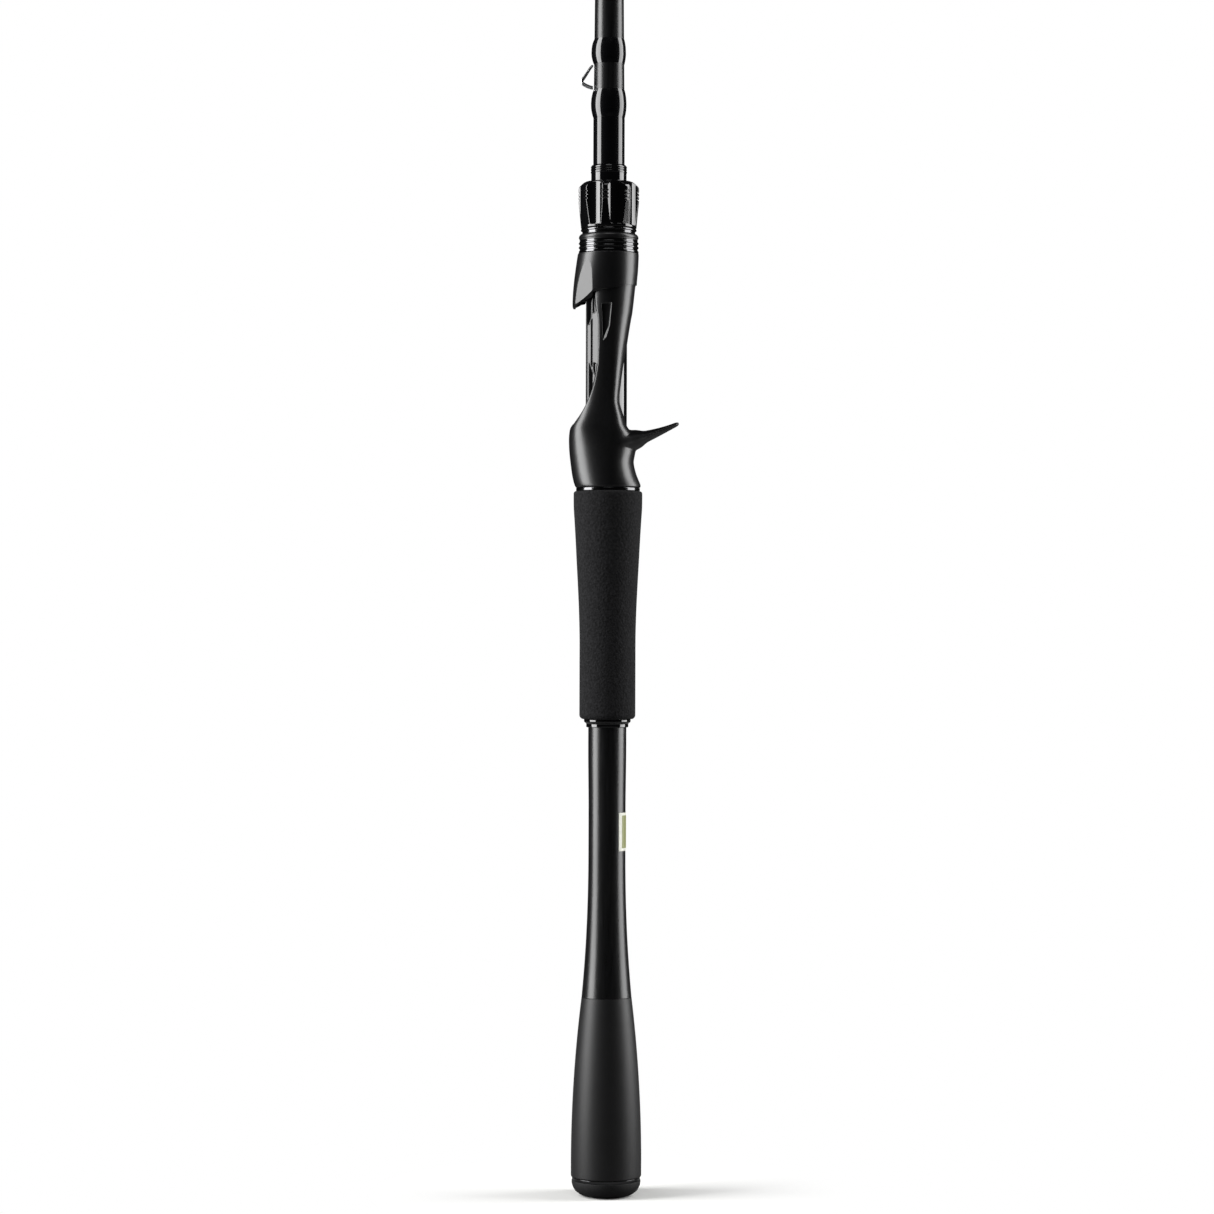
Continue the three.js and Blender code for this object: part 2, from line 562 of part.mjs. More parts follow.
function makeNut() {
  const foot = slidingBore + nut.footWall;
  const rib = foot + nut.rib;
  const sleeveRadius = slidingBore + nutThread.wall;
  const top = z.nut + nut.height;
  const sleeveTop = top - nut.cap;
  const shoulder = top - nut.crown;
  const ribFoot = z.nut + nut.foot;
  const facetTop = z.nut + nut.facetTop;
  const envelope = [[foot, z.nut], [foot, ribFoot], [foot + nut.rib * 0.35, ribFoot], [rib, facetTop],
    [rib, shoulder], [rib - 0.7, shoulder + 0.9], [rib - nut.crown, top - 0.4], [slidingBore + 0.1, top]];
  const bore = [...straight(sleeveRadius + glue, z.nut, sleeveTop), ...straight(slidingBore, sleeveTop, top)];
  let shape = solid(turnedRing(envelope, bore, 32));
  const reach = foot - nut.valley + nut.valleyRadius;
  // Each rib is planed flat from its foot to the facet's top, leaning outwards as it rises.
  const planed = [[foot - nut.facetFoot, ribFoot], [rib - nut.facetHead, facetTop], [rib, facetTop + 0.5],
    [rib + 2, facetTop + 0.5], [rib + 2, ribFoot]];
  const step = (2 * Math.PI) / nut.lobes;
  for (let i = 0; i < nut.lobes; i += 1) {
    const angle = -Math.PI / 2 + firstValley + step * i;
    const scoop = new THREE.CylinderGeometry(nut.valleyRadius, nut.valleyRadius, nut.height, 44);
    turnUp(scoop).translate(reach * Math.cos(angle), reach * Math.sin(angle), ribFoot + nut.height / 2);
    const plane = sidePrism(planed, 4).rotateZ(angle + step / 2);
    shape = shape.subtract(solid(scoop)).subtract(solid(plane));
  }
  add('locking_nut', geometryOf(shape), materials.gloss);
  add('nut_thread_sleeve', turnedRing(straight(sleeveRadius, z.nut, sleeveTop - glue),
    straight(slidingBore, z.nut, sleeveTop - glue)), materials.filler);
}

// ---- Blank and its bindings --------------------------------------------------------------------------

// Outer radius of the blank: parallel below the bindings, then a steady taper to the tip.
const blankRadius = (height) => blank.buttRadius - blank.taper * Math.max(0, height - z.bare);

function makeBlank() {
  const foot = z.tubeEnd - blank.inserted;
  const outer = [foot, z.bare, z.mouth].map((height) => [blankRadius(height), height]);
  const bore = outer.map(([r, height]) => [r - blank.wall, height]);
  add('blank', turnedRing(outer, bore, plain), materials.carbon);

  const checkTop = z.frontCheck + frontCheck.height;
  const ring = bindingBore + frontCheck.wall;
  // Share of the check's height, and how far in from its widest radius.
  const turnings = [[0, 0.15], [0.54, 0.15], [0.565, 0], [0.61, 0], [0.64, 0.3], [0.68, 0], [0.725, 0],
    [0.755, 0.3], [0.8, 0], [0.84, 0], [1, 0.5]];
  const rows = turnings.map(([share, inset]) => [ring - inset, z.frontCheck + frontCheck.height * share]);
  const checkBore = straight(bindingBore, z.frontCheck, checkTop);
  add('front_check', turnedRing(rows, checkBore, plain), materials.gloss);

  const sleeveTop = z.sleeve + sleeve.length;
  add('grip_sleeve', turnedRing(straight(blank.buttRadius + sleeve.build, z.sleeve, sleeveTop),
    straight(bindingBore, z.sleeve, sleeveTop), plain), materials.epoxy);
  add('lower_wrap', wrap(z.lowerWrap, lowerWrap, 0.5), materials.epoxy);
  add('upper_wrap', wrap(z.upperWrap, upperWrap, 0.4), materials.epoxy);
}

// A thread binding under epoxy: a low barrel that feathers out at both ends.
function wrap(foot, { length, build }, fullest) {
  const rows = [[0, 0.1], [0.12, 0.45], [0.3, 0.85], [fullest, 1], [0.75, 0.8], [0.92, 0.35], [1, 0.1]];
  const outer = rows.map(([share, swell]) => {
    const height = foot + length * share;
    return [blankRadius(height) + closeFit + build * swell, height];
  });
  const bore = [foot, foot + length].map((height) => [blankRadius(height) + closeFit, height]);
  return turnedRing(outer, bore, plain);
}

// The hook keeper: one wire folded in two, its fold at the upper binding and its ends at the lower one.
function makeHookKeeper() {
  const surface = blankRadius(z.bare) + keeper.wire + glue;
  const out = blankRadius(z.bare) + keeper.reach;
  const [low, high] = [z.bare + keeper.wire + glue, z.upperWrap - keeper.wire - glue];
  const half = [[surface, keeper.spread * 0.8, low + 0.25], [surface + 1.6, keeper.spread * 0.95, low + 0.55],
    [out - 0.9, keeper.spread, low + 1.9], [out - 0.4, keeper.spread, low + 2.9],
    [out - 1.8, keeper.spread * 0.85, low + 4.7], [surface + 1.1, keeper.eye * 1.15, high - 1.1],
    [surface + 0.35, keeper.eye * 0.9, high - 0.3]];
  const mirrored = [...half].reverse().map(([reach, y, height]) => [reach, -y, height]);
  const route = [...half, [surface + 0.1, 0, high], ...mirrored];
  const path = new THREE.CatmullRomCurve3(route.map(([reach, y, up]) => new THREE.Vector3(-reach, y, up)));
  const section = new THREE.Shape();
  section.absarc(0, 0, keeper.wire, 0, 2 * Math.PI, false);
  add('hook_keeper', new THREE.ExtrudeGeometry(section, { steps: 40, extrudePath: path, curveSegments: 4 }),
    materials.steel);
}

// ---- Spigot that takes the next section ----------------------------------------------------------------

function makeSpigot() {
  const seated = blankRadius(z.mouth) - blank.wall - glue;
  const foot = z.mouth - spigot.inserted;
  const end = seated - spigot.taper * spigot.length;
  add('ferrule_spigot', turned([[0, foot], [seated, foot], [seated, z.mouth], [end, z.spigotEnd - 0.8],
    [end - 0.8, z.spigotEnd], [0, z.spigotEnd]], plain), materials.carbon);

  const [low, high] = [z.mouth - endWrap.length, z.mouth - glue];
  const bore = (height) => blankRadius(height) + closeFit;
  const outer = [[bore(low) + 0.08, low], [bore(low) + endWrap.build, low + 2],
    [bore(high) + endWrap.build, high - 1.1], [bore(high) + 0.1, high]];
  add('end_wrap', turnedRing(outer, [[bore(low), low], [bore(high), high]], plain), materials.epoxy);
}

makeButt();
makeHandleTube();
makeRearGrip();
makeSeat();
makeHood();
makeHoodRings();
makeNut();
makeBlank();
makeHookKeeper();
makeSpigot();

// ---- Assembly: what is fixed, what slides with the hood, and what turns with the nut -------------------

const nutGroup = new THREE.Group();
nutGroup.add(parts.locking_nut, parts.nut_thread_sleeve);
const hoodGroup = new THREE.Group();
hoodGroup.add(parts.hood, parts.hood_band, parts.thrust_ring, parts.nut_washer, nutGroup);
const moving = new Set([...hoodGroup.children, ...nutGroup.children]);
const rod = new THREE.Group();
rod.add(hoodGroup, ...Object.values(parts).filter((mesh) => !moving.has(mesh)));

export default rod;
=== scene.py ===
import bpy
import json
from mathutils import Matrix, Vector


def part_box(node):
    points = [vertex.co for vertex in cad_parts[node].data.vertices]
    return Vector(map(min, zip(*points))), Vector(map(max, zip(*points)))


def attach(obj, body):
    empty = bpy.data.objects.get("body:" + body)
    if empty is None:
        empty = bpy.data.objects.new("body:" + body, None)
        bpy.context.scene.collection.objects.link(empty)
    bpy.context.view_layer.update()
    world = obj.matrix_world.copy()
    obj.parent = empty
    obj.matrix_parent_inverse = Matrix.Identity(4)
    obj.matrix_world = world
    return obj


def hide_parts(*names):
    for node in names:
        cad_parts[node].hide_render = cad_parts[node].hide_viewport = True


bl_info = {
    "name": "Casting rod handle",
    "version": (1, 0, 0),
    "blender": (4, 5, 0),
    "location": "3D View > Sidebar > Rod",
    "description": "Builds the finished surfaces of a casting rod handle round its packed frame",
    "category": "Object",
}

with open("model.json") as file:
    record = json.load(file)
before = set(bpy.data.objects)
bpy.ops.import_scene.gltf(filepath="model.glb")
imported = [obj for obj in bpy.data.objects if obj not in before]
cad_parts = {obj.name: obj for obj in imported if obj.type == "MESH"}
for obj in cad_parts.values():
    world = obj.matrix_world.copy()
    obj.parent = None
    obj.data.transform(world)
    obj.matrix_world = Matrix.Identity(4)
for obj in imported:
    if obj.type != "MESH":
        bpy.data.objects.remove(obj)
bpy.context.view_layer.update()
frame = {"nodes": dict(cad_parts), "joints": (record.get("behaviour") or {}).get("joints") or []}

import json
import math

import bmesh
import bpy
from mathutils import Matrix, Vector

MM = 0.001
FULL_TURN = 2 * math.pi
AXIS = (0, 0, 1)
HANDLE, HOOD, NUT = "handle", "hood", "nut"

SEAT_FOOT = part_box("reel_seat")[0].z / MM
HOOD_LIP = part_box("hood")[0].z / MM
HOOD_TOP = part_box("hood")[1].z / MM
TRAVEL = next(j["range_m"][1] for j in frame["joints"] if j["name"] == "hood_slide") / MM


def linear(hex_colour):
    """An sRGB hex colour as the linear RGBA that the shaders take."""
    channels = [((hex_colour >> shift) & 255) / 255 for shift in (16, 8, 0)]
    return (*(c / 12.92 if c <= 0.04045 else ((c + 0.055) / 1.055) ** 2.4 for c in channels), 1)


def colour_property(name, description, hex_colour):
    return bpy.props.FloatVectorProperty(name=name, description=description, subtype="COLOR", size=4,
                                         min=0, max=1, default=linear(hex_colour))


def length_property(name, description, millimetres):
    return bpy.props.FloatProperty(name=name, description=description, default=millimetres * MM,
                                   precision=5, subtype="DISTANCE", unit="LENGTH")


class RodSizes(bpy.types.PropertyGroup):
    turn_steps: bpy.props.IntProperty(
        name="Turn steps", description="Sides of a turned part", default=128)
    grain: length_property(
        "Moulding grain", "Size of the grid that rounds the moulded seat", 0.36)
    fine_grain: length_property(
        "Fine grain", "Size of the grid that rounds the hood and the deck", 0.26)
    nut_grain: length_property(
        "Nut grain", "Size of the grid that rounds the locking nut", 0.16)
    palm: length_property(
        "Palm length", "From the seat's foot to the start of its deck", 36)
    deck: length_property(
        "Deck length", "From the palm swell to the seat's shoulder", 50.1)
    cheek_width: length_property(
        "Cheek width", "Half width of the seat at its waist", 10.8)
    thread_pitch: length_property(
        "Thread pitch", "Rise of the barrel's thread in one turn", 2)
    thread_depth: length_property(
        "Thread depth", "Depth of the barrel's thread", 0.55)
    foam_pore: length_property(
        "Foam pore", "Width of the speckle in the foam grip", 0.9)
    wrap_thread: length_property(
        "Wrap thread", "Spacing of the binding thread under the epoxy", 0.4)
    wire: length_property(
        "Keeper wire", "Radius of the hook keeper's wire", 0.45)


class RodColours(bpy.types.PropertyGroup):
    cap: colour_property("Butt cap", "Rubber of the butt cap", 0x101011)
    grip_skin: colour_property("Grip skin", "Soft-touch paint of the butt grip", 0x101011)
    carbon: colour_property("Carbon", "Clear-coated carbon tube and blank", 0x080809)
    foam: colour_property("Foam", "EVA foam of the rear grip", 0x161617)
    moulding: colour_property("Moulding", "Carbon-filled nylon of the seat and hood", 0x0A0A0B)
    gloss: colour_property("Gloss", "Lacquer of the locking nut and the checks", 0x050506)
    anodised: colour_property("Anodised", "Black anodised aluminium trim", 0x545455)
    epoxy: colour_property("Epoxy", "Black thread under rod-building epoxy", 0x040405)
    steel: colour_property("Steel", "Stainless wire of the hook keeper", 0xC6C8CA)
    paper: colour_property("Paper", "Label border", 0xE6E6DA)
    print: colour_property("Print", "Label centre", 0x8B8F5C)
    filler: colour_property("Filler", "Cast urethane arbors and plug", 0x4A4740)
    floor: colour_property("Floor", "Studio floor", 0xF4F4F2)


# ---- Nodes and materials ----------------------------------------------------------------------------

# At a scale of 1, the bands of a wave texture repeat after this distance.
WAVE_PERIOD = FULL_TURN / 20


def node(tree, kind, inputs=(), stops=(), **properties):
    """Adds a shader node. An input takes a value or another node's output, and a ramp takes its stops."""
    made = tree.nodes.new("ShaderNode" + kind)
    for name, value in properties.items():
        setattr(made, name, value)
    for name, value in dict(inputs).items():
        if isinstance(value, bpy.types.NodeSocket):
            tree.links.new(value, made.inputs[name])
        else:
            made.inputs[name].default_value = value
    for element, (position, colour) in zip(made.color_ramp.elements if stops else (), stops):
        element.position, element.color = position, colour
    return made


def shade(colour, factor):
    """The same colour, lighter or darker."""
    return (*(min(1, channel * factor) for channel in colour[:3]), 1)


def surface(name, colour, roughness, **look):
    """A named material with one Principled surface. Returns the material, its tree and the shader."""
    material = bpy.data.materials.new(name)
    material.use_nodes = True
    tree = material.node_tree
    shader = tree.nodes["Principled BSDF"]
    values = {"base_color": colour, "roughness": roughness, **look}
    sockets = {socket.name.lower().replace(" ", "_"): socket for socket in shader.inputs}
    for socket, value in values.items():
        sockets[socket].default_value = value
    return material, tree, shader


def grained(name, colour, roughness, size, detail=2.0, stretch=(1, 1, 1), tones=None, relief=0, **look):
    """A surface with one grain, whose lumps are about size metres wide on the piece's own coordinates.
    A pair of roughnesses is a range that follows the grain. Tones say where its dark and its light
    begin and how much each shades the colour. Relief is its depth in metres."""
    smooth, rough = roughness if isinstance(roughness, tuple) else (roughness, roughness)
    material, tree, shader = surface(name, colour, smooth, **look)
    place = node(tree, "TexCoord")
    mapping = node(tree, "Mapping", {"Vector": place.outputs["Object"], "Scale": stretch})
    noise = node(tree, "TexNoise", {"Vector": mapping.outputs["Vector"], "Scale": 1 / size, "Detail": detail})
    grain = noise.outputs["Fac"]
    if rough != smooth:
        sheen = node(tree, "MapRange", {"Value": grain, "To Min": smooth, "To Max": rough})
        tree.links.new(sheen.outputs["Result"], shader.inputs["Roughness"])
    if tones:
        dark_at, light_at, dark, light = tones
        tint = node(tree, "ValToRGB", {"Fac": grain},
                    stops=((dark_at, shade(colour, dark)), (light_at, shade(colour, light))))
        tree.links.new(tint.outputs["Color"], shader.inputs["Base Color"])
    if relief:
        lumps = node(tree, "Bump", {"Height": grain, "Strength": 1.0, "Distance": relief})
        tree.links.new(lumps.outputs["Normal"], shader.inputs["Normal"])
    return material, tree, shader


def moulded_rubber(colours):
    """Moulded nitrile rubber: near black and dull, with a sparkle-free grain of about 0.5 mm."""
    return grained("moulded_rubber", colours.cap, 0.72, 0.5 * MM, detail=3.0, tones=(0.4, 0.68, 0.7, 2.2),
                   relief=0.05 * MM, specular_ior_level=0.35)[0]


def soft_touch_paint(colours):
    """Soft-touch polyurethane paint: an even grey-black with a broad, weak highlight and a faint tooth."""
    material, tree, shader = grained("soft_touch_paint", colours.grip_skin, (0.43, 0.49), 9 * MM,
                                     tones=(0.3, 0.7, 0.9, 1.15), specular_ior_level=0.42)
    place = node(tree, "TexCoord")
    per_tooth = 1 / (0.35 * MM)
    tooth = node(tree, "TexNoise", {"Vector": place.outputs["Object"], "Scale": per_tooth, "Detail": 2.0})
    relief = node(tree, "Bump", {"Height": tooth.outputs["Fac"], "Strength": 1.0, "Distance": 0.006 * MM})
    tree.links.new(relief.outputs["Normal"], shader.inputs["Normal"])
    return material


def satin_carbon(colours):
    """Sanded and satin clear-coated carbon: black, with a soft highlight that is broken lengthwise by
    the marks of wet sanding."""
    return grained("satin_clear_coated_carbon", colours.carbon, (0.24, 0.34), 0.9 * MM, detail=3.0,
                   stretch=(1, 1, 0.06), tones=(0.35, 0.7, 0.7, 1.7), relief=0.004 * MM)[0]


def polished_carbon(colours):
    """Polished clear-coated carbon: the same tube inside the seat, where the coat was never rubbed
    down, so that it mirrors the lights with a hard edge."""
    return grained("polished_clear_coated_carbon", colours.carbon, 0.06, 1.4 * MM, stretch=(1, 1, 0.1),
                   tones=(0.35, 0.7, 0.7, 1.8), coat_weight=0.4)[0]


def cut_foam(colours):
    """Ground EVA foam: charcoal and dead matt, its cut cells a fine light and dark speckle with pits."""
    pore = bpy.context.scene.rod_sizes.foam_pore
    material, tree, shader = grained("ground_eva_foam", colours.foam, 0.95, pore, detail=4.0,
                                     tones=(0.36, 0.66, 0.62, 1.9), specular_ior_level=0.19)
    place = node(tree, "TexCoord")
    cells = node(tree, "TexVoronoi", {"Vector": place.outputs["Object"], "Scale": 1 / pore})
    pits = node(tree, "Bump", {"Height": cells.outputs["Distance"], "Strength": 1.0, "Distance": 0.16 * MM})
    tree.links.new(pits.outputs["Normal"], shader.inputs["Normal"])
    return material


def moulded_nylon(colours):
    """Carbon-filled nylon, injection moulded and sprayed satin: black, with a silky highlight and the
    very fine orange peel of the spray."""
    return grained("satin_sprayed_nylon_moulding", colours.moulding, (0.28, 0.34), 0.8 * MM,
                   tones=(0.3, 0.7, 0.85, 1.25), relief=0.004 * MM, specular_ior_level=0.52)[0]


def black_lacquer(colours):
    """Lacquered and polished ABS: deep black that mirrors the lights with a hard edge."""
    return grained("polished_black_lacquer", colours.gloss, (0.07, 0.11), 3 * MM, coat_weight=0.3)[0]


def black_anodised(colours):
    """Bright-dipped, black anodised aluminium: dark metal with a turned, slightly drawn-out shine."""
    return grained("black_anodised_aluminium", colours.anodised, (0.1, 0.18), 0.5 * MM, detail=1.0,
                   stretch=(0.05, 0.05, 1), metallic=1.0)[0]


def bound_thread(colours):
    """Black nylon thread under rod-building epoxy: the resin is like glass over faint rings of thread.
    The thread is drawn a little coarser than its 0.2 mm, so that it shows."""
    black = colours.epoxy
    material, tree, shader = surface("thread_under_epoxy", black, 0.3, coat_weight=1.0, coat_roughness=0.02,
                                     specular_ior_level=0.04)
    place = node(tree, "TexCoord")
    per_thread = WAVE_PERIOD / bpy.context.scene.rod_sizes.wrap_thread
    rings = node(tree, "TexWave", {"Vector": place.outputs["Object"], "Scale": per_thread, "Distortion": 0.3},
                 bands_direction="Z")
    tint = node(tree, "ValToRGB", {"Fac": rings.outputs["Fac"]},
                stops=((0.2, shade(black, 0.8)), (0.9, shade(black, 1.8))))
    tree.links.new(tint.outputs["Color"], shader.inputs["Base Color"])
    relief = node(tree, "Bump", {"Height": rings.outputs["Fac"], "Strength": 1.0, "Distance": 0.02 * MM})
    tree.links.new(relief.outputs["Normal"], shader.inputs["Normal"])
    return material


def stainless_wire(colours):
    """Polished stainless wire: bright, with the fine drawing lines of the die."""
    return grained("polished_stainless_wire", colours.steel, (0.14, 0.26), 0.3 * MM, metallic=1.0)[0]


def label_paper(name, colour):
    """Coated label paper, printed: off-white or olive, with faint fibres and a dull sheen."""
    return grained(name, colour, 0.45, 0.7 * MM, detail=3.0, tones=(0.3, 0.7, 0.86, 1.06))[0]


def cast_urethane(colours):
    """Cast urethane foam: brown-grey and open-celled, seen only where the rod is taken apart."""
    return grained("cast_urethane_filler", colours.filler, 0.8, 0.8 * MM, detail=3.0,
                   tones=(0.3, 0.7, 0.7, 1.3), relief=0.1 * MM)[0]


MAKERS = {
    "rubber": moulded_rubber,
    "paint": soft_touch_paint,
    "satin_carbon": satin_carbon,
    "polished_carbon": polished_carbon,
    "foam": cut_foam,
    "nylon": moulded_nylon,
    "lacquer": black_lacquer,
    "anodised": black_anodised,
    "thread": bound_thread,
    "steel": stainless_wire,
    "filler": cast_urethane,
}
made_materials = {}


def finish(name):
    """The material of that short name, made once."""
    if name not in made_materials:
        made_materials[name] = MAKERS[name](bpy.context.scene.rod_colours)
    return made_materials[name]


# ---- Shape helpers ----------------------------------------------------------------------------------


def span(name):
    """Foot, top and widest radius of a CAD node, in millimetres."""
    low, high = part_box(name)
    return low.z / MM, high.z / MM, max(high.x, high.y) / MM


def reading(rows, at):
    """A smooth reading of a table of rows whose first column rises: a cubic through the rows."""
    if at <= rows[0][0]:
        return rows[0][1:]
    if at >= rows[-1][0]:
        return rows[-1][1:]
    upper = next(i for i, row in enumerate(rows) if row[0] >= at)
    near = [rows[max(0, min(len(rows) - 1, upper + step))] for step in (-2, -1, 0, 1)]
    before, low, high, after = near
    length = high[0] - low[0]
    share = (at - low[0]) / length
    values = []
    for k in range(1, len(low)):
        leaving = (high[k] - before[k]) / max(high[0] - before[0], 1e-9) * length
        arriving = (after[k] - low[k]) / max(after[0] - low[0], 1e-9) * length
        cubic = 2 * share ** 3 - 3 * share ** 2
        values.append(low[k] * (cubic + 1) - high[k] * cubic + leaving * share * (1 - share) ** 2
                      - arriving * share ** 2 * (1 - share))
    return values


def levels(low, high, count):
    """Evenly spaced heights from low to high, both included."""
    return [low + (high - low) * i / count for i in range(count + 1)]


def smooth_rows(rows, step):
    """The same profile with points every step millimetres or so along its height."""
    low, high = rows[0][0], rows[-1][0]
    count = max(2, round((high - low) / step))
    return [(reading(rows, height)[0], height) for height in levels(low, high, count)]


def turned(rows, closed=True):
    """A profile of (radius, height[, rounding]) rows spun about the rod's axis. A closed profile makes
    a ring, and an open one starts and ends on the axis."""
    bm = bmesh.new()
    verts = [bm.verts.new((row[0], 0, row[1])) for row in rows]
    for pair in zip(verts, verts[1:] + verts[:1] if closed else verts[1:]):
        bm.edges.new(pair)
    for radius in sorted({row[2] for row in rows if len(row) > 2}):
        corners = [vert for vert, row in zip(verts, rows) if row[2:] == (radius,)]
        bmesh.ops.bevel(bm, geom=corners, offset=radius, offset_type="OFFSET", affect="VERTICES",
                        segments=4, profile=0.5, material=-1)
    bmesh.ops.spin(bm, geom=bm.verts[:] + bm.edges[:], cent=(0, 0, 0), axis=AXIS, angle=FULL_TURN,
                   steps=bpy.context.scene.rod_sizes.turn_steps, use_merge=True)
    bmesh.ops.remove_doubles(bm, verts=bm.verts, dist=1e-4)
    bmesh.ops.recalc_face_normals(bm, faces=bm.faces)
    return bm


def ring(outer, bore):
    """A turned ring: outer profile upwards, then its bore downwards."""
    return turned(list(outer) + [tuple(row) for row in reversed(bore)])


def straight(radius, foot, top):
    return [(radius, foot), (radius, top)]


def prism(outline, axis, low, high):
    """An outline of (x or y, height) or (x, y) points, filled and extruded along an axis."""
    bm = bmesh.new()
    places = {"x": lambda a, b: (low, a, b), "y": lambda a, b: (a, low, b), "z": lambda a, b: (a, b, low)}
    face = bm.faces.new([bm.verts.new(places[axis](a, b)) for a, b in outline])
    made = bmesh.ops.extrude_face_region(bm, geom=[face])
    moved = [item for item in made["geom"] if isinstance(item, bmesh.types.BMVert)]
    direction = Vector((axis == "x", axis == "y", axis == "z")) * (high - low)
    bmesh.ops.translate(bm, vec=direction, verts=moved)
    bmesh.ops.recalc_face_normals(bm, faces=bm.faces)
    return bm


COLUMN_SIDES = 128


def column(foot, top, section, count):
    """A closed column whose outline at each height is an egg: reach to -X, reach to +X, half width
    along Y, and how square its corners are."""
    bm = bmesh.new()
    bmesh.ops.create_cone(bm, cap_ends=True, segments=COLUMN_SIDES, radius1=1, radius2=1, depth=1)
    upright = [edge for edge in bm.edges if abs(edge.verts[0].co.z - edge.verts[1].co.z) > 0.5]
    bmesh.ops.subdivide_edges(bm, edges=upright, cuts=count - 1, use_grid_fill=True)
    for vert in bm.verts:
        height = foot + (top - foot) * (vert.co.z + 0.5)
        left, right, half, square = section(height)
        across, along = vert.co.x, vert.co.y
        corner = (abs(across) ** square + abs(along) ** square) ** (1 / square)
        swell = math.hypot(across, along) / corner
        reach = right if across > 0 else left
        vert.co = (reach * across * swell, half * along * swell, height)
    bmesh.ops.recalc_face_normals(bm, faces=bm.faces)
    return bm


def as_object(name, bm):
    """Writes a bmesh drawn in millimetres to a mesh object in metres."""
    bmesh.ops.scale(bm, vec=(MM, MM, MM), verts=bm.verts)
    mesh = bpy.data.meshes.new(name)
    bm.to_mesh(mesh)
    bm.free()
    made = bpy.data.objects.new(name, mesh)
    bpy.context.scene.collection.objects.link(made)
    return made


def settle(made):
    """Applies the object's modifiers to its mesh."""
    bpy.context.view_layer.update()
    graph = bpy.context.evaluated_depsgraph_get()
    result = bpy.data.meshes.new_from_object(made.evaluated_get(graph))
    made.modifiers.clear()
    old, made.data = made.data, result
    bpy.data.meshes.remove(old)


def combine(made, steps):
    """Adds or cuts each (operation, bmesh) in turn, and applies the result."""
    tools = []
    for operation, bm in steps:
        tool = as_object("tool", bm)
        modifier = made.modifiers.new(operation.lower(), "BOOLEAN")
        modifier.operation, modifier.solver, modifier.object = operation, "EXACT", tool
        tools.append(tool)
    settle(made)
    for tool in tools:
        mesh = tool.data
        bpy.data.objects.remove(tool)
        bpy.data.meshes.remove(mesh)


def cut(made, *tools):
    """Cuts each bmesh away in turn."""
    combine(made, [("DIFFERENCE", tool) for tool in tools])


def mould(made, size, passes):
    """Turns a sharp solid into a moulding with rounded edges, on a grid of that size in metres, smoothed
    that many times."""
    remesh = made.modifiers.new("grain", "REMESH")
    remesh.mode, remesh.voxel_size = "VOXEL", size
    smooth = made.modifiers.new("round", "SMOOTH")
    smooth.factor, smooth.iterations = 0.5, passes
    settle(made)


def dress(made, material, body, slot, *nodes, sharp=40):
    """Smooth shading, material, body and the CAD nodes that the piece stands for."""
    made.data.shade_smooth()
    made.data.set_sharp_from_angle(angle=math.radians(sharp))
    weighted = made.modifiers.new("even_flats", "WEIGHTED_NORMAL")
    weighted.keep_sharp = True
    for one in material if isinstance(material, list) else [material]:
        made.data.materials.append(one)
    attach(made, body)
    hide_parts(*nodes)
    return made


def piece(name, bm, material, body, slot, *nodes):
    """A whole piece from one bmesh."""
    return dress(as_object(name, bm), finish(material), body, slot, *nodes)


# ---- Butt -------------------------------------------------------------------------------------------

GRIP_FOOT, GRIP_TOP, GRIP_RADIUS = span("butt_grip")
GRIP_TOP_RADIUS = 10.5
GRIP_STRAIGHT = 5


def grip_radius(height):
    """Full at the butt, then falling away faster and faster."""
    share = max(0, (height - GRIP_FOOT - GRIP_STRAIGHT) / (GRIP_TOP - GRIP_FOOT - GRIP_STRAIGHT))
    return GRIP_RADIUS - (GRIP_RADIUS - GRIP_TOP_RADIUS) * share ** 2


class ROD_OT_butt(bpy.types.Operator):
    """Build the butt cap, its trim ring and the painted butt grip"""

    bl_idname = "rod.butt"
    bl_label = "Butt"
    bl_options = {"REGISTER", "UNDO"}

    def execute(self, context):
        foot, stem_top, radius = span("butt_cap")
        ring_foot, ring_top, ring_radius = span("butt_trim_ring")
        cap_top, face, stem = ring_foot - 0.1, 8, 4
        rows = [(0, foot), (face, foot)]
        for i in range(1, 17):
            turn = math.pi / 2 * i / 16
            rows.append((face + (radius - face) * math.sin(turn), cap_top * 0.9 * (1 - math.cos(turn))))
        rows += [(radius, cap_top, 0.25), (stem, cap_top), (stem, stem_top), (0, stem_top)]
        piece("butt_cap_rubber", turned(rows, closed=False), "rubber", HANDLE, "cap_rubber", "butt_cap")

        bore = stem + 5
        outer = [(ring_radius, ring_foot, 0.15), (ring_radius, ring_top, 0.15)]
        piece("butt_ring_anodised", ring(outer, straight(bore, ring_foot, ring_top)), "anodised", HANDLE,
              "gloss_trim", "butt_trim_ring")

        heights = levels(GRIP_FOOT, GRIP_TOP, 40)
        skin = 1.1
        rows = [(grip_radius(height), height) for height in heights]
        rows[0] = (*rows[0], 0.55)
        rows[-1] = (*rows[-1], 0.12)
        bore = [(grip_radius(height) - skin, height) for height in heights[::4]]
        piece("butt_grip_skin", ring(rows, bore), "paint", HANDLE, "butt_skin", "butt_grip")
        return {"FINISHED"}


# ---- Handle tube and label --------------------------------------------------------------------------

TUBE_FLARE = 62.5
TUBE_IN_GRIPS = 8.0
TUBE_IN_SEAT = 7.82
TUBE_WAIST = 7.77
CHECK_FOOT = span("rear_check")[0]


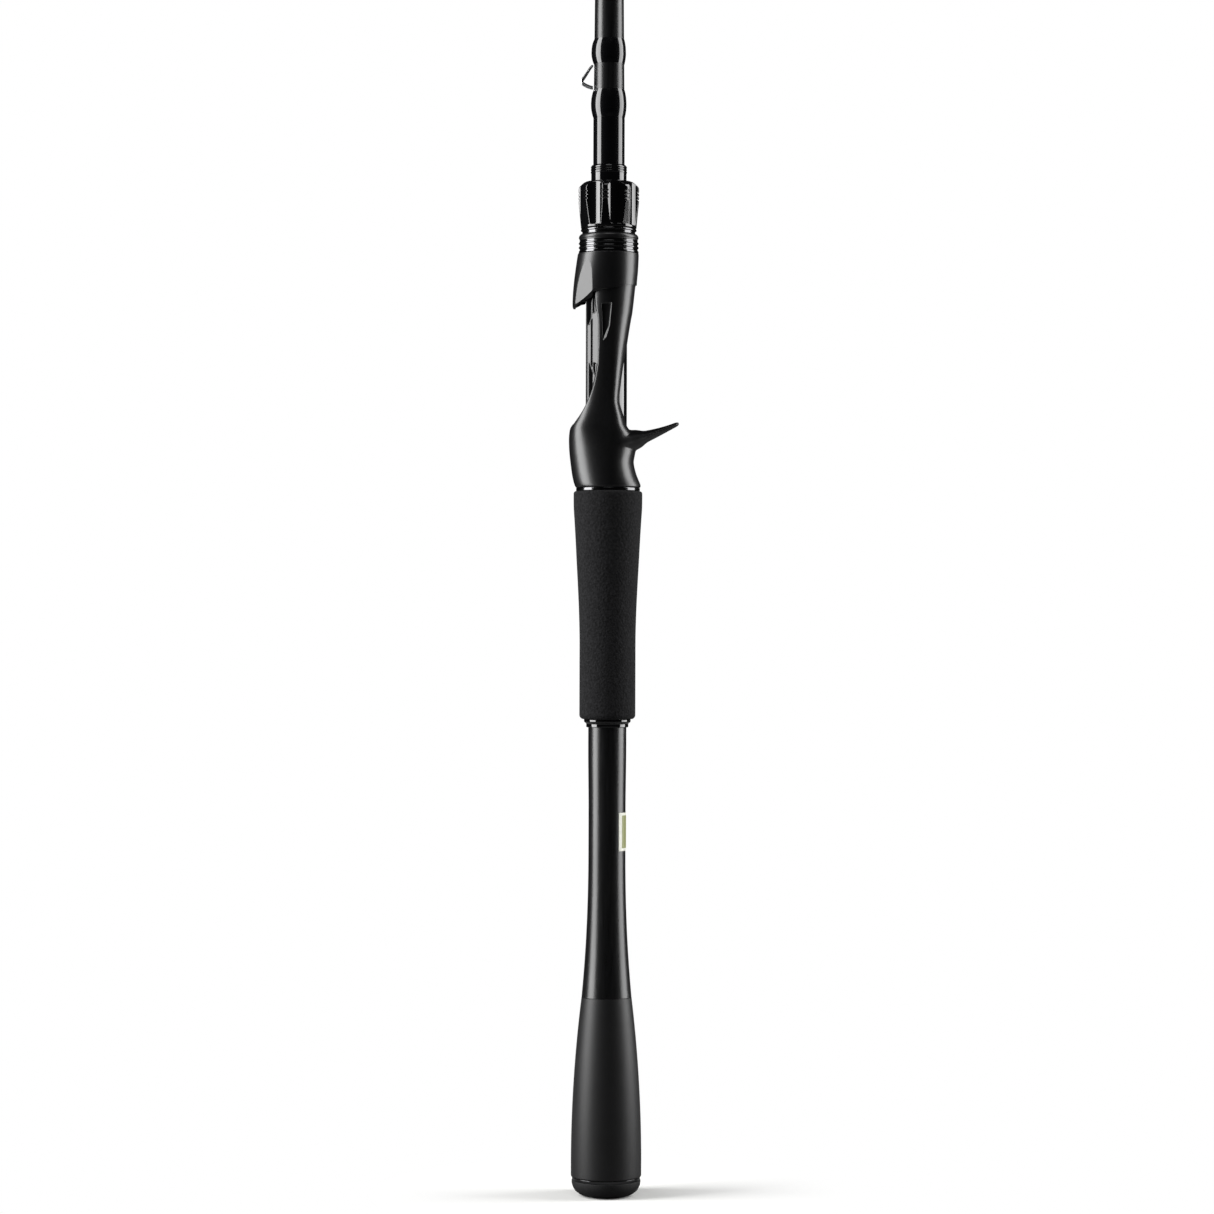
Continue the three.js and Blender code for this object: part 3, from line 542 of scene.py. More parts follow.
def tube_radius(height):
    """A trumpet flare at the butt grip, a waist, then the straight part that runs into the grips."""
    flare = max(0, (GRIP_TOP + TUBE_FLARE - height) / TUBE_FLARE)
    share = max(0, min(1, (height - CHECK_FOOT + 35) / 27))
    swell = share * share * (3 - 2 * share)
    return TUBE_WAIST + (GRIP_TOP_RADIUS - TUBE_WAIST) * flare ** 2.2 + (TUBE_IN_GRIPS - TUBE_WAIST) * swell


class ROD_OT_tube(bpy.types.Operator):
    """Build the carbon handle tube, satin where it shows and polished inside the seat"""

    bl_idname = "rod.tube"
    bl_label = "Handle tube"
    bl_options = {"REGISTER", "UNDO"}

    def execute(self, context):
        foot, top, _ = span("handle_tube")
        wall, hidden_gap = 1.2, 1.2
        below = [(grip_radius(h) - hidden_gap, h) for h in levels(foot, GRIP_TOP, 10)]
        shown = [(tube_radius(h), h) for h in levels(GRIP_TOP + 0.1, CHECK_FOOT + 0.1, 60)]
        shown[0] = (*shown[0], 0.12)
        above = [(TUBE_IN_GRIPS, SEAT_FOOT), (TUBE_IN_SEAT, SEAT_FOOT + 3), (TUBE_IN_SEAT, top)]
        outer = below + shown + above
        bore = [(row[0] - wall, row[1]) for row in below[::2] + shown[1::4] + above]
        made = as_object("handle_tube_carbon", ring(outer, bore))
        for polygon in made.data.polygons:
            polygon.material_index = int(polygon.center.z > (SEAT_FOOT + 3) * MM)
        dress(made, [finish("satin_carbon"), finish("polished_carbon")], HANDLE, "tube_carbon", "handle_tube")
        return {"FINISHED"}


class ROD_OT_label(bpy.types.Operator):
    """Build the blank two-tone label on the handle tube"""

    bl_idname = "rod.label"
    bl_label = "Label"
    bl_options = {"REGISTER", "UNDO"}

    def execute(self, context):
        colours = context.scene.rod_colours
        foot, top, radius = span("shaft_label")
        arc, border, film = 1.8, 1.5, 0.06
        bm = bmesh.new()
        start = Matrix.Rotation(-arc / 2, 3, "Z") @ Vector((radius - film, 0, foot))
        verts = [bm.verts.new((start.x, start.y, height)) for height in levels(foot, top, 14)]
        edges = [bm.edges.new(pair) for pair in zip(verts, verts[1:])]
        bmesh.ops.spin(bm, geom=verts + edges, cent=(0, 0, 0), axis=AXIS, angle=arc, steps=24)
        bmesh.ops.recalc_face_normals(bm, faces=bm.faces)
        if bm.faces[0].calc_center_median().dot(bm.faces[0].normal) < 0:
            bmesh.ops.reverse_faces(bm, faces=bm.faces)
        made = as_object("label_sticker", bm)
        edge = border / radius
        for polygon in made.data.polygons:
            centre = polygon.center / MM
            turn = math.atan2(centre.y, centre.x)
            inside = abs(turn) < arc / 2 - edge and foot + border < centre.z < top - border
            polygon.material_index = int(inside)
        shell = made.modifiers.new("film", "SOLIDIFY")
        shell.thickness, shell.offset = film * MM, 1
        settle(made)
        papers = [label_paper("label_paper_white", colours.paper),
                  label_paper("label_print_olive", colours.print)]
        dress(made, papers, HANDLE, "label_paper", "shaft_label")
        return {"FINISHED"}


# ---- Rear grip --------------------------------------------------------------------------------------


class ROD_OT_rear_grip(bpy.types.Operator):
    """Build the glossy check, the ground foam grip and the ring under the seat"""

    bl_idname = "rod.rear_grip"
    bl_label = "Rear grip"
    bl_options = {"REGISTER", "UNDO"}

    def execute(self, context):
        bore = TUBE_IN_GRIPS + 0.1
        foot, top, lip = span("rear_check")
        neck = bore + 0.74
        outer = [(neck, foot, 0.25), (neck, top - 1.7, 0.3), (lip, top - 1.1, 0.35), (lip, top, 0.15)]
        piece("rear_check_lacquered", ring(outer, straight(bore, foot, top)), "lacquer", HANDLE, "nut_gloss",
              "rear_check")

        foot, top, full = span("rear_grip")
        slim = bore + 3.66
        rows = [(0, slim), (25, slim), (35, slim + 0.02), (46, slim + 0.32), (56, slim + 0.78),
                (66, slim + 1.32), (75, slim + 1.78), (83, slim + 2.25), (89, full - 0.05), (95.7, full)]
        outer = [(radius, foot + height) for radius, height in smooth_rows(rows, 2)]
        outer[0] = (outer[0][0], foot, 1.7)
        outer[-1] = (outer[-1][0], top, 1.1)
        grip = piece("rear_grip_foam", ring(outer, straight(bore, foot, top)), "foam", HANDLE, "grip_foam",
                     "rear_grip")

        foot, top, radius = span("seat_trim_ring")
        outer = [(radius, foot, 0.15), (radius, top, 0.15)]
        piece("seat_ring_anodised", ring(outer, straight(bore, foot, top)), "anodised", HANDLE, "gloss_trim",
              "seat_trim_ring")
        return {"FINISHED"}


# ---- Reel seat --------------------------------------------------------------------------------------

BARREL_RADIUS = 9.5
SEAT_BORE = TUBE_IN_SEAT + 0.1
DECK_FLOOR, DECK_RAIL, DECK_FOOT = 8.9, 9.5, 18.5
SHOULDER = HOOD_TOP - 1.5 - 0.2 - TRAVEL


def seat_rows(sizes):
    """Rise above the foot, reach to the reel side, reach to the trigger side, half width, squareness."""
    palm, deck, cheek = sizes.palm / MM, sizes.deck / MM, sizes.cheek_width / MM
    over = 10
    return [
        (0, 13.5, 13.5, 13.4, 2), (1, 14, 13.75, 13.5, 2), (3, 14.6, 12.95, 13.5, 2),
        (6, 15.2, 11.8, 13.4, 2), (10.5, 15.8, 10.8, 13.3, 2.05), (14, 16.2, 11.3, 13.2, 2.1),
        (18, 16.45, 11.9, 13, 2.2), (22, 16.4, 10.6, 12.8, 2.5), (26, 15.7, 7.8, 12.5, 2.9),
        (30, 13.9, 6.6, 12, 3), (palm, 12, 5.2, 11.3, 2.8), (palm + deck * 0.14, 10.5, 5.7, 10.9, 2.7),
        (palm + deck * 0.28, over, 6.5, cheek, 2.6), (palm + deck * 0.49, over, 7.9, cheek, 2.4),
        (palm + deck * 0.68, over, 9.4, cheek, 2.2), (palm + deck * 0.75, over, 10.05, cheek + 0.1, 2.15),
        (palm + deck, over, 11.45, cheek + 0.35, 2.1),
    ]


def cheek_rim(sizes):
    """Reach to -X against rise: the cheek's edge towards the reel."""
    palm, deck = sizes.palm / MM, sizes.deck / MM
    rows = [(23.5, 16.7), (24.6, 16.1), (25.6, 15.4), (26.6, 14.6), (28, 13.4), (29.6, 12.2), (31.5, 11),
            (33.6, 9.8), (palm + deck * 0.06, 7.4), (palm + deck * 0.16, 5.9),
            (palm + deck * 0.27, 4.8), (palm + deck * 0.36, 4.4), (palm + deck * 0.68, 4.4),
            (palm + deck * 0.78, 5.3), (palm + deck + 1, 6.1)]
    return [(-reach, SEAT_FOOT + rise) for reach, rise in smooth_rows(rows, 1.5)]


def trigger_horn():
    """A horn that leaves the seat towards +X and curls up as it thins."""
    bm = bmesh.new()
    bmesh.ops.create_cone(bm, cap_ends=True, segments=48, radius1=1, radius2=1, depth=1)
    upright = [edge for edge in bm.edges if abs(edge.verts[0].co.z - edge.verts[1].co.z) > 0.5]
    bmesh.ops.subdivide_edges(bm, edges=upright, cuts=47, use_grid_fill=True)
    root, bend, tip = Vector((3, 0, 18.5)), Vector((14.85, 0, 20.2)), Vector((29.7, 0, 27.2))
    # Share of the way out, half thickness, half width. The root spreads over the seat's flanks.
    rows = [(0, 10, 12.8), (0.1, 7.6, 12.2), (0.2, 5.6, 11.2), (0.3, 4.5, 10), (0.4, 3.8, 8.9),
            (0.5, 2.6, 7.7), (0.6, 2.1, 6.6), (0.7, 1.7, 5.4), (0.8, 1.35, 4.4), (0.9, 1.05, 3.4),
            (0.97, 0.85, 2.5), (1, 0.45, 1.6)]
    for vert in bm.verts:
        share = vert.co.z + 0.5
        centre = root.lerp(bend, share).lerp(bend.lerp(tip, share), share)
        tangent = (bend - root).lerp(tip - bend, share).normalized()
        thick, wide = reading(rows, share)
        across, along = vert.co.x, vert.co.y
        out = across * thick
        vert.co = (centre.x + tangent.z * out, along * wide, SEAT_FOOT + centre.z - tangent.x * out)
    bmesh.ops.recalc_face_normals(bm, faces=bm.faces)
    return bm


def mirrored(half):
    """Half an outline and the same half on the other side of y = 0."""
    return [(x, -y) for x, y in reversed(half[1:])] + half


def deck_outline(cheek):
    """The deck across: a floor between two rails, whose flanks are a bevel, a groove and a second bevel."""
    return mirrored([(-DECK_FLOOR, 0), (-DECK_FLOOR, 6), (-DECK_RAIL, 6.2), (-DECK_RAIL, 6.55), (-8.7, 6.75),
                     (-7.2, 8), (-6.95, 7.55), (-6.55, 7.8), (-4.25, 9.65), (-3.7, cheek - 1.1)])


def deck_core(cheek):
    """The plain block behind the deck that joins it to the cheeks."""
    sunk = 0.6 - DECK_FLOOR
    return mirrored([(sunk, 0), (sunk, 6), (-6.9, 6.9), (-5.2, 8.2), (-3.6, cheek - 1.2), (0, cheek - 1)])


def cheek_recess(side, cheek):
    """A tapering recess in the outside of each cheek, pointing towards the butt, with sloping walls."""
    low, height, offset, width, depth, clear = SEAT_FOOT + 61.3, 15.6, -1.05, 4.5, 0.65, 3
    left, right, top = offset - width / 2, offset + width / 2, low + height
    outline = [(left, top), (left + 0.6, low), (left + 1.1, low), (right - 0.8, top - height * 0.65),
               (right, top)]
    floor, out = side * (cheek - depth), side * (cheek + clear)
    bm = prism(outline, "y", floor, out)
    slope, middle = 0.38, low + height * 0.55
    grow = slope * (clear / depth)
    for vert in bm.verts:
        at_floor = abs(vert.co.y - floor) < 1e-6
        wider, taller = (1 - slope, 0.9) if at_floor else (1 + grow, 1 + grow * 0.24)
        vert.co.x = offset + (vert.co.x - offset) * wider
        vert.co.z = middle + (vert.co.z - middle) * taller
    return bm


def rail_cut(side, outline, depth):
    """A facet cut into the flank of a rail down to that half width, leaving a face turned sideways."""
    return prism(outline, "y", side * depth, side * (depth + 8))


def box(low, high):
    """A block between two corners."""
    bm = bmesh.new()
    bmesh.ops.create_cube(bm, size=1)
    low, high = Vector(low), Vector(high)
    bmesh.ops.scale(bm, vec=high - low, verts=bm.verts)
    bmesh.ops.translate(bm, vec=(low + high) / 2, verts=bm.verts)
    return bm


class ROD_OT_reel_seat(bpy.types.Operator):
    """Build the moulded reel seat with its trigger, deck, rails and cheeks"""

    bl_idname = "rod.reel_seat"
    bl_label = "Reel seat"
    bl_options = {"REGISTER", "UNDO"}

    def execute(self, context):
        sizes = context.scene.rod_sizes
        cheek = sizes.cheek_width / MM
        rows = seat_rows(sizes)
        body = column(SEAT_FOOT, SHOULDER, lambda height: reading(rows, height - SEAT_FOOT), 120)
        half, far = 6.9, 30
        roof, mouth = -13.4, SEAT_FOOT + 26.5
        deck_foot, over_top = SEAT_FOOT + DECK_FOOT, SHOULDER + 1
        rim = cheek_rim(sizes)
        over_deck = prism([*rim, (-far, over_top), (-far, rim[0][1])], "y", -far, far)
        made = as_object("reel_seat_moulding", body)
        combine(made, [
            ("DIFFERENCE", box((roof, -half, deck_foot), (-DECK_FLOOR, half, over_top))),
            ("DIFFERENCE", box((-far, -half, mouth), (-DECK_FLOOR, half, over_top))),
            ("DIFFERENCE", over_deck),
            ("UNION", prism(deck_core(cheek), "z", deck_foot, SHOULDER)),
            ("UNION", trigger_horn()),
        ])
        mould(made, sizes.grain, 5)
        arbor, arbor_top, below = 9.2, SEAT_FOOT + 10, SEAT_FOOT - 1
        bore = [(0, below), (arbor, below), (arbor, arbor_top), (SEAT_BORE, arbor_top), (SEAT_BORE, over_top),
                (0, over_top)]
        cut(made, turned(bore, closed=False), cheek_recess(-1, cheek), cheek_recess(1, cheek))
        dress(made, finish("nylon"), HANDLE, "seat_moulding", "reel_seat", sharp=50)
        self.build_deck(sizes, cheek, deck_foot, over_top)
        return {"FINISHED"}

    def build_deck(self, sizes, cheek, deck_foot, over_top):
        """The deck with its two faceted rails, on a finer grid than the rest."""
        made = as_object("reel_seat_deck", prism(deck_outline(cheek), "z", deck_foot + 6, SHOULDER))
        flank = 6.75
        tongue_end, palm_end = SEAT_FOOT + 67.4, SEAT_FOOT + 52.8
        upper = [(-10, tongue_end + 3.4), (-8.1, tongue_end), (-7.0, tongue_end + 3.2), (-6.6, over_top),
                 (-10, over_top)]
        lower = [(-10, palm_end - 3), (-7.9, palm_end), (-5.4, palm_end - 7.4), (-3, palm_end - 9),
                 (-3, deck_foot), (-10, deck_foot)]
        shoulder_end = [(-6.7, palm_end + 0.2), (-3, palm_end - 3.2), (-3, deck_foot), (-6.7, deck_foot)]
        shoulder_top = [(-6.9, tongue_end + 4.1), (-4.9, tongue_end + 6.6), (-4.9, over_top),
                        (-6.9, over_top)]
        facets = ((upper, flank), (lower, flank + 0.5), (shoulder_end, flank + 1.3),
                  (shoulder_top, flank + 1.0))
        cut(made, *(rail_cut(side, outline, depth) for side in (-1, 1) for outline, depth in facets))
        mould(made, sizes.fine_grain, 1)
        cut(made, turned([(0, deck_foot), *straight(SEAT_BORE, deck_foot, over_top), (0, over_top)],
                         closed=False))
        dress(made, finish("nylon"), HANDLE, "seat_moulding", "reel_seat", sharp=50)


class ROD_OT_barrel(bpy.types.Operator):
    """Build the threaded barrel that the locking nut runs on"""

    bl_idname = "rod.barrel"
    bl_label = "Threaded barrel"
    bl_options = {"REGISTER", "UNDO"}

    def execute(self, context):
        sizes = context.scene.rod_sizes
        top = span("reel_seat")[1]
        pitch, depth = sizes.thread_pitch / MM, sizes.thread_depth / MM
        foot = SHOULDER + 0.05
        start, end = HOOD_TOP - 1, top - 1.5
        outer = [(BARREL_RADIUS, foot), (BARREL_RADIUS, start, 0.2)]
        turns = int((end - start) / pitch)
        for i in range(turns):
            height = start + i * pitch
            outer += [(BARREL_RADIUS - depth, height + pitch * 0.25, 0.15),
                      (BARREL_RADIUS - depth, height + pitch * 0.5, 0.15),
                      (BARREL_RADIUS, height + pitch * 0.75, 0.12), (BARREL_RADIUS, height + pitch, 0.12)]
        outer += [(BARREL_RADIUS, top, 0.4)]
        bm = ring(outer, straight(SEAT_BORE, foot, top))
        for vert in bm.verts:
            height = vert.co.z
            if start < height < start + turns * pitch:
                turn = math.atan2(vert.co.y, vert.co.x) / FULL_TURN
                ease = min(1, (height - start) / pitch, (start + turns * pitch - height) / pitch)
                vert.co.z += turn * pitch * ease
        piece("barrel_thread", bm, "nylon", HANDLE, "seat_moulding", "reel_seat")
        return {"FINISHED"}


# ---- Hood -------------------------------------------------------------------------------------------

LIP_REACH = 15.1


def hood_rows(sizes):
    """Rise above the lip, reach to the reel side, reach to the trigger side, half width, squareness."""
    right, half = 11.65, sizes.cheek_width / MM + 0.55
    rows = [(0, 0.4, 0.1, 0.65, 2.2), (1.2, 0, 0.1, 0.65, 2.2), (6, 0.1, 0.15, 0.7, 2.15),
            (11, 0.5, 0.25, 0.85, 2.1), (16, 1.1, 0.7, 1.05, 2.05), (21, 1.8, 0.95, 1.15, 2),
            (23.5, 2.2, 1, 1.15, 2)]
    return [(rise, LIP_REACH - inside, right + wall, half + flank, square)
            for rise, inside, wall, flank, square in rows]


def hood_trim(cheek):
    """What is cut away below the hood's edge: level round the trigger side, a tongue on the reel side."""
    edge, far, below = SHOULDER - 1.1, 30, HOOD_LIP - 3
    drop = edge - 3.6
    steps = 24
    curve = []
    for i in range(steps + 1):
        across = (2 * i / steps - 1) * cheek * 1.06
        curve.append((across, HOOD_LIP + 0.1 + (drop - HOOD_LIP) * (across / cheek) ** 2 * 1.06))
    tongue = [(-far, below), (-far, curve[0][1]), *curve, (far, curve[-1][1]), (far, below)]
    side = -6.7
    level = [(side, below), (far, below), (far, edge + 3.2), (20, edge + 1.9), (side, drop)]
    return prism(tongue, "x", -far, far), prism(level, "y", -far, far)


def hood_facet(side, cheek):
    """Flat facet on each flank, between the hood's round top and the tongue."""
    places = [(LIP_REACH - 5.8, cheek - 1.7, HOOD_TOP - 4.8), (LIP_REACH - 8.25, cheek + 0.1, HOOD_LIP + 6.9),
              (LIP_REACH - 1, cheek - 5.6, HOOD_LIP + 1.2)]
    first, second, third = (Vector((-reach, y * side, height)) for reach, y, height in places)
    normal = (second - first).cross(third - first).normalized()
    if normal.y * side < 0:
        normal.negate()
    bm = box((-30, -30, 0), (30, 30, 20))
    turn = Vector(AXIS).rotation_difference(normal).to_matrix()
    bmesh.ops.rotate(bm, cent=(0, 0, 0), matrix=turn, verts=bm.verts)
    bmesh.ops.translate(bm, vec=first, verts=bm.verts)
    return bm


class ROD_OT_hood(bpy.types.Operator):
    """Build the sliding hood with its facets, tongue and pocket"""

    bl_idname = "rod.hood"
    bl_label = "Hood"
    bl_options = {"REGISTER", "UNDO"}

    def execute(self, context):
        sizes = context.scene.rod_sizes
        cheek = sizes.cheek_width / MM
        rows = hood_rows(sizes)
        shell = column(HOOD_LIP, HOOD_TOP, lambda height: reading(rows, height - HOOD_LIP), 60)
        made = as_object("hood_moulding", shell)
        roof_height = HOOD_TOP - 1.5
        cavity_section = (10.2, 11.65, cheek + 0.55, 2.2)
        room = 0.3
        deck = [(min(0, x - room), y + math.copysign(room, y)) for x, y in mirrored([
            (-DECK_RAIL, 0), (-DECK_RAIL, 6.9), (-7.2, 8), (-6.5, 8.3), (-4.25, 9.65), (0, cheek - 0.7)])]
        pocket_reach, pocket_end = -13.95, roof_height - 5.5
        arch = [(0, 6.9), (-DECK_RAIL, 6.9), (-11.6, 6.1), (pocket_reach, 3.7)]
        arch += [(x, -y) for x, y in reversed(arch)]
        low = HOOD_LIP - 1
        pocket = as_object("pocket", prism(arch, "z", low, roof_height))
        taper = prism([(pocket_reach, low), (0, low), (0, pocket_end), (-12.3, pocket_end)], "y", -8, 8)
        combine(pocket, [("INTERSECT", taper)])
        foot_pocket = bmesh.new()
        foot_pocket.from_mesh(pocket.data)
        bmesh.ops.scale(foot_pocket, vec=(1 / MM,) * 3, verts=foot_pocket.verts)
        bpy.data.objects.remove(pocket)
        bore = BARREL_RADIUS + 0.2
        cut(made, hood_facet(-1, cheek), hood_facet(1, cheek))
        mould(made, sizes.fine_grain, 3)
        cavity = column(low, roof_height, lambda height: cavity_section, 1)
        over_barrel = turned([(0, low), *straight(bore, low, HOOD_TOP + 1), (0, HOOD_TOP + 1)], closed=False)
        cut(made, cavity, foot_pocket, prism(deck, "z", low, roof_height), over_barrel, *hood_trim(cheek))
        dress(made, finish("nylon"), HOOD, "seat_moulding", "hood", sharp=50)
        return {"FINISHED"}


class ROD_OT_hood_rings(bpy.types.Operator):
    """Build the ridged band, the thrust ring and the washer above the hood"""

    bl_idname = "rod.hood_rings"
    bl_label = "Hood rings"
    bl_options = {"REGISTER", "UNDO"}

    def execute(self, context):
        bore = BARREL_RADIUS + 0.2
        foot, top, ridge = span("hood_band")
        groove = ridge - 0.38
        outer = [(ridge, foot, 0.12), (ridge, foot + 0.85, 0.1)]
        for height in (1.95, 3.75):
            outer += [(groove, foot + height - 0.95, 0.12), (groove, foot + height, 0.12),
                      (ridge, foot + height + 0.1, 0.1), (ridge, foot + height + 0.65, 0.1)]
        outer += [(groove, foot + 4.5, 0.12), (groove, top)]
        piece("hood_band_anodised", ring(outer, straight(bore, foot, top)), "anodised", HOOD, "gloss_trim",
              "hood_band")

        foot, top, radius = span("thrust_ring")
        outer = [(radius - 0.3, foot), (radius - 0.3, foot + 0.7, 0.1), (radius, foot + 0.8, 0.12),
                 (radius, top - 0.9, 0.5), (radius - 0.9, top, 0.3)]
        piece("thrust_ring_moulding", ring(outer, straight(bore, foot, top)), "nylon", HOOD, "seat_moulding",
              "thrust_ring")

        foot, top, rim = span("nut_washer")
        neck = bore + 1.4
        outer = [(neck, foot), (neck, foot + 1.1, 0.1), (rim, foot + 1.25, 0.12), (rim, top - 0.35, 0.15),
                 (rim - 0.3, top)]
        piece("nut_washer_anodised", ring(outer, straight(bore, foot, top)), "anodised", HOOD, "gloss_trim",
              "nut_washer")
        return {"FINISHED"}


# ---- Locking nut ------------------------------------------------------------------------------------


class ROD_OT_locking_nut(bpy.types.Operator):
    """Build the lobed locking nut with its cross-cut ribs"""

    bl_idname = "rod.locking_nut"
    bl_label = "Locking nut"
    bl_options = {"REGISTER", "UNDO"}

    def execute(self, context):
        sizes = context.scene.rod_sizes
        foot, top, rib = span("locking_nut")
        lobes, first, rib_height = 8, math.radians(15.5), 1.05
        base = rib - rib_height
        valley_radius, valley_floor, lip, facet_top, crown = 6.5, base - 0.8, 1, 11.2, 2.2
        bore, sleeve = BARREL_RADIUS + 0.2, BARREL_RADIUS + 1.3
        outer = [(base - 0.15, foot), (base, foot + 0.3), (base, foot + lip), (base + 0.35, foot + lip),
                 (rib, foot + facet_top), (rib, top - crown, 0.8), (rib - crown, top - 0.3, 0.6),
                 (bore + 0.1, top), (0, top)]
        made = as_object("locking_nut_lacquered", turned([(0, foot)] + outer, closed=False))
        cuts = []
        reach, step = valley_floor + valley_radius, FULL_TURN / lobes
        planed = [(base - 0.1, foot + lip), (rib - 0.06, foot + facet_top), (rib + 2, foot + facet_top),
                  (rib + 2, foot + lip)]
        for i in range(lobes):
            turn = -math.pi / 2 + first + step * i
            cutter = bmesh.new()
            bmesh.ops.create_cone(cutter, cap_ends=True, segments=160, radius1=valley_radius,
                                  radius2=valley_radius, depth=20)
            place = (reach * math.cos(turn), reach * math.sin(turn), foot + lip + 10)
            bmesh.ops.translate(cutter, vec=place, verts=cutter.verts)
            plane = prism(planed, "y", -4, 4)
            bmesh.ops.rotate(plane, cent=(0, 0, 0), matrix=Matrix.Rotation(turn + step / 2, 3, "Z"),
                             verts=plane.verts)
            cuts += [cutter, plane]
        groove_half, groove_depth = 0.3, 0.4
        for height in (11.9, 13.4, 14.9):
            low, high = foot + height - groove_half, foot + height + groove_half
            cuts.append(turned(straight(rib + 2, low, high) + straight(rib - groove_depth, high, low)))
        cut(made, *cuts)
        mould(made, sizes.nut_grain, 2)
        hollow = [(0, foot - 1), *straight(sleeve, foot - 1, top - 2.4), *straight(bore, top - 2.4, top + 1),
                  (0, top + 1)]
        cut(made, turned(hollow, closed=False))
        dress(made, finish("lacquer"), NUT, "nut_gloss", "locking_nut", sharp=60)
        return {"FINISHED"}


# ---- Blank, checks and wraps ------------------------------------------------------------------------

BLANK_RADIUS, BLANK_TAPER = 6.41, 0.0088
BINDING_BORE = BLANK_RADIUS + 0.04
BARE_FOOT = span("lower_wrap")[1]


def blank_radius(height):
    """Parallel below the bindings, then a steady taper to the tip."""
    return BLANK_RADIUS - BLANK_TAPER * max(0, height - BARE_FOOT)


def wrap_rows(foot, top, build, fullest):
    """A thread binding under epoxy: a low barrel that feathers out at both ends."""
    length = top - foot
    rows = [(0, 0.1), (0.06, 0.3), (0.14, 0.55), (0.3, 0.88), (fullest, 1), (0.72, 0.84), (0.88, 0.5),
            (0.96, 0.25), (1, 0.1)]
    return [(blank_radius(foot + length * share) + 0.04 + build * swell, foot + length * share)
            for swell, share in smooth_rows(rows, 0.04)]


def swell_over_feet(bm, foot, top, strength):
    """Lifts a binding on the -X side, where the feet of the keeper's wire lie under it."""
    for vert in bm.verts:
        radius = math.hypot(vert.co.x, vert.co.y)
        if radius < BLANK_RADIUS + 0.06:
            continue
        off = math.atan2(vert.co.y, -vert.co.x)
        over = math.exp(-(off / 0.55) ** 2)
        share = (vert.co.z - foot) / (top - foot)
        lift = strength * over * math.sin(math.pi * max(0, min(1, share))) ** 0.7
        vert.co.x *= 1 + lift / radius
        vert.co.y *= 1 + lift / radius


class ROD_OT_blank(bpy.types.Operator):
    """Build the blank, the front check, the sleeve and the thread bindings"""

    bl_idname = "rod.blank"
    bl_label = "Blank and bindings"
    bl_options = {"REGISTER", "UNDO"}

    def execute(self, context):
        foot, top, _ = span("blank")
        wall = 0.85
        heights = [foot, BARE_FOOT] + [BARE_FOOT + (top - BARE_FOOT) * i / 8 for i in range(1, 9)]
        outer = [(blank_radius(height), height) for height in heights]
        bore = [(radius - wall, height) for radius, height in outer[::3]]
        piece("blank_carbon", ring(outer, bore), "satin_carbon", HANDLE, "blank_carbon", "blank")

        foot, top, radius = span("front_check")
        inner = radius - 0.18
        groove = radius - 0.32
        outer = [(inner, foot, 0.2), (inner, foot + 3.5, 0.1), (radius, foot + 3.7, 0.14),
                 (radius, foot + 4.25, 0.14), (groove, foot + 4.4, 0.1), (groove, foot + 4.65, 0.1),
                 (radius, foot + 4.8, 0.14), (radius, foot + 5.2, 0.14), (groove, foot + 5.35, 0.1),
                 (groove, foot + 5.6, 0.1), (radius, foot + 5.75, 0.14), (radius, foot + 6.2, 0.3),
                 (radius - 0.55, top, 0.12)]
        piece("front_check_lacquered", ring(outer, straight(BINDING_BORE, foot, top)), "lacquer", HANDLE,
              "nut_gloss", "front_check")

        foot, top, radius = span("grip_sleeve")
        outer = [(radius, foot), (radius, top)]
        piece("grip_sleeve_epoxied", ring(outer, straight(BINDING_BORE, foot, top)), "thread", HANDLE,
              "wrap_epoxy", "grip_sleeve")

        for name, source, build, fullest, feet in (
            ("lower_wrap_bound", "lower_wrap", 0.85, 0.5, 0.3),
            ("upper_wrap_bound", "upper_wrap", 0.72, 0.42, 0.45),
        ):
            foot, top, radius = span(source)
            outer = wrap_rows(foot, top, build, fullest)
            bore = [(blank_radius(foot) + 0.04, foot), (blank_radius(top) + 0.04, top)]
            bm = ring(outer, bore)
            swell_over_feet(bm, foot, top, feet)
            piece(name, bm, "thread", HANDLE, "wrap_epoxy", source)

        foot, top, radius = span("end_wrap")
        rise = radius - blank_radius(foot) - 0.04
        outer = [(blank_radius(foot) + 0.12, foot), (blank_radius(foot) + rise, foot + 2, 0.8),
                 (blank_radius(top) + rise, top - 1.1, 0.6), (blank_radius(top) + 0.15, top)]
        bore = [(blank_radius(foot) + 0.04, foot), (blank_radius(top) + 0.04, top)]
        piece("end_wrap_bound", ring(outer, bore), "thread", HANDLE, "wrap_epoxy", "end_wrap")
        return {"FINISHED"}


class ROD_OT_spigot(bpy.types.Operator):
    """Build the spigot that takes the next section"""

    bl_idname = "rod.spigot"
    bl_label = "Spigot"
    bl_options = {"REGISTER", "UNDO"}

    def execute(self, context):
        foot, end, radius = span("ferrule_spigot")
        mouth = span("blank")[1]
        slim = radius - 0.0045 * (end - mouth)
        outer = [(0, foot), (radius, foot, 0.2), (radius, mouth), (slim, end, 0.8), (0, end)]
        piece("spigot_carbon", turned(outer, closed=False), "satin_carbon", HANDLE, "blank_carbon",
              "ferrule_spigot")
        return {"FINISHED"}


# ---- Hook keeper ------------------------------------------------------------------------------------


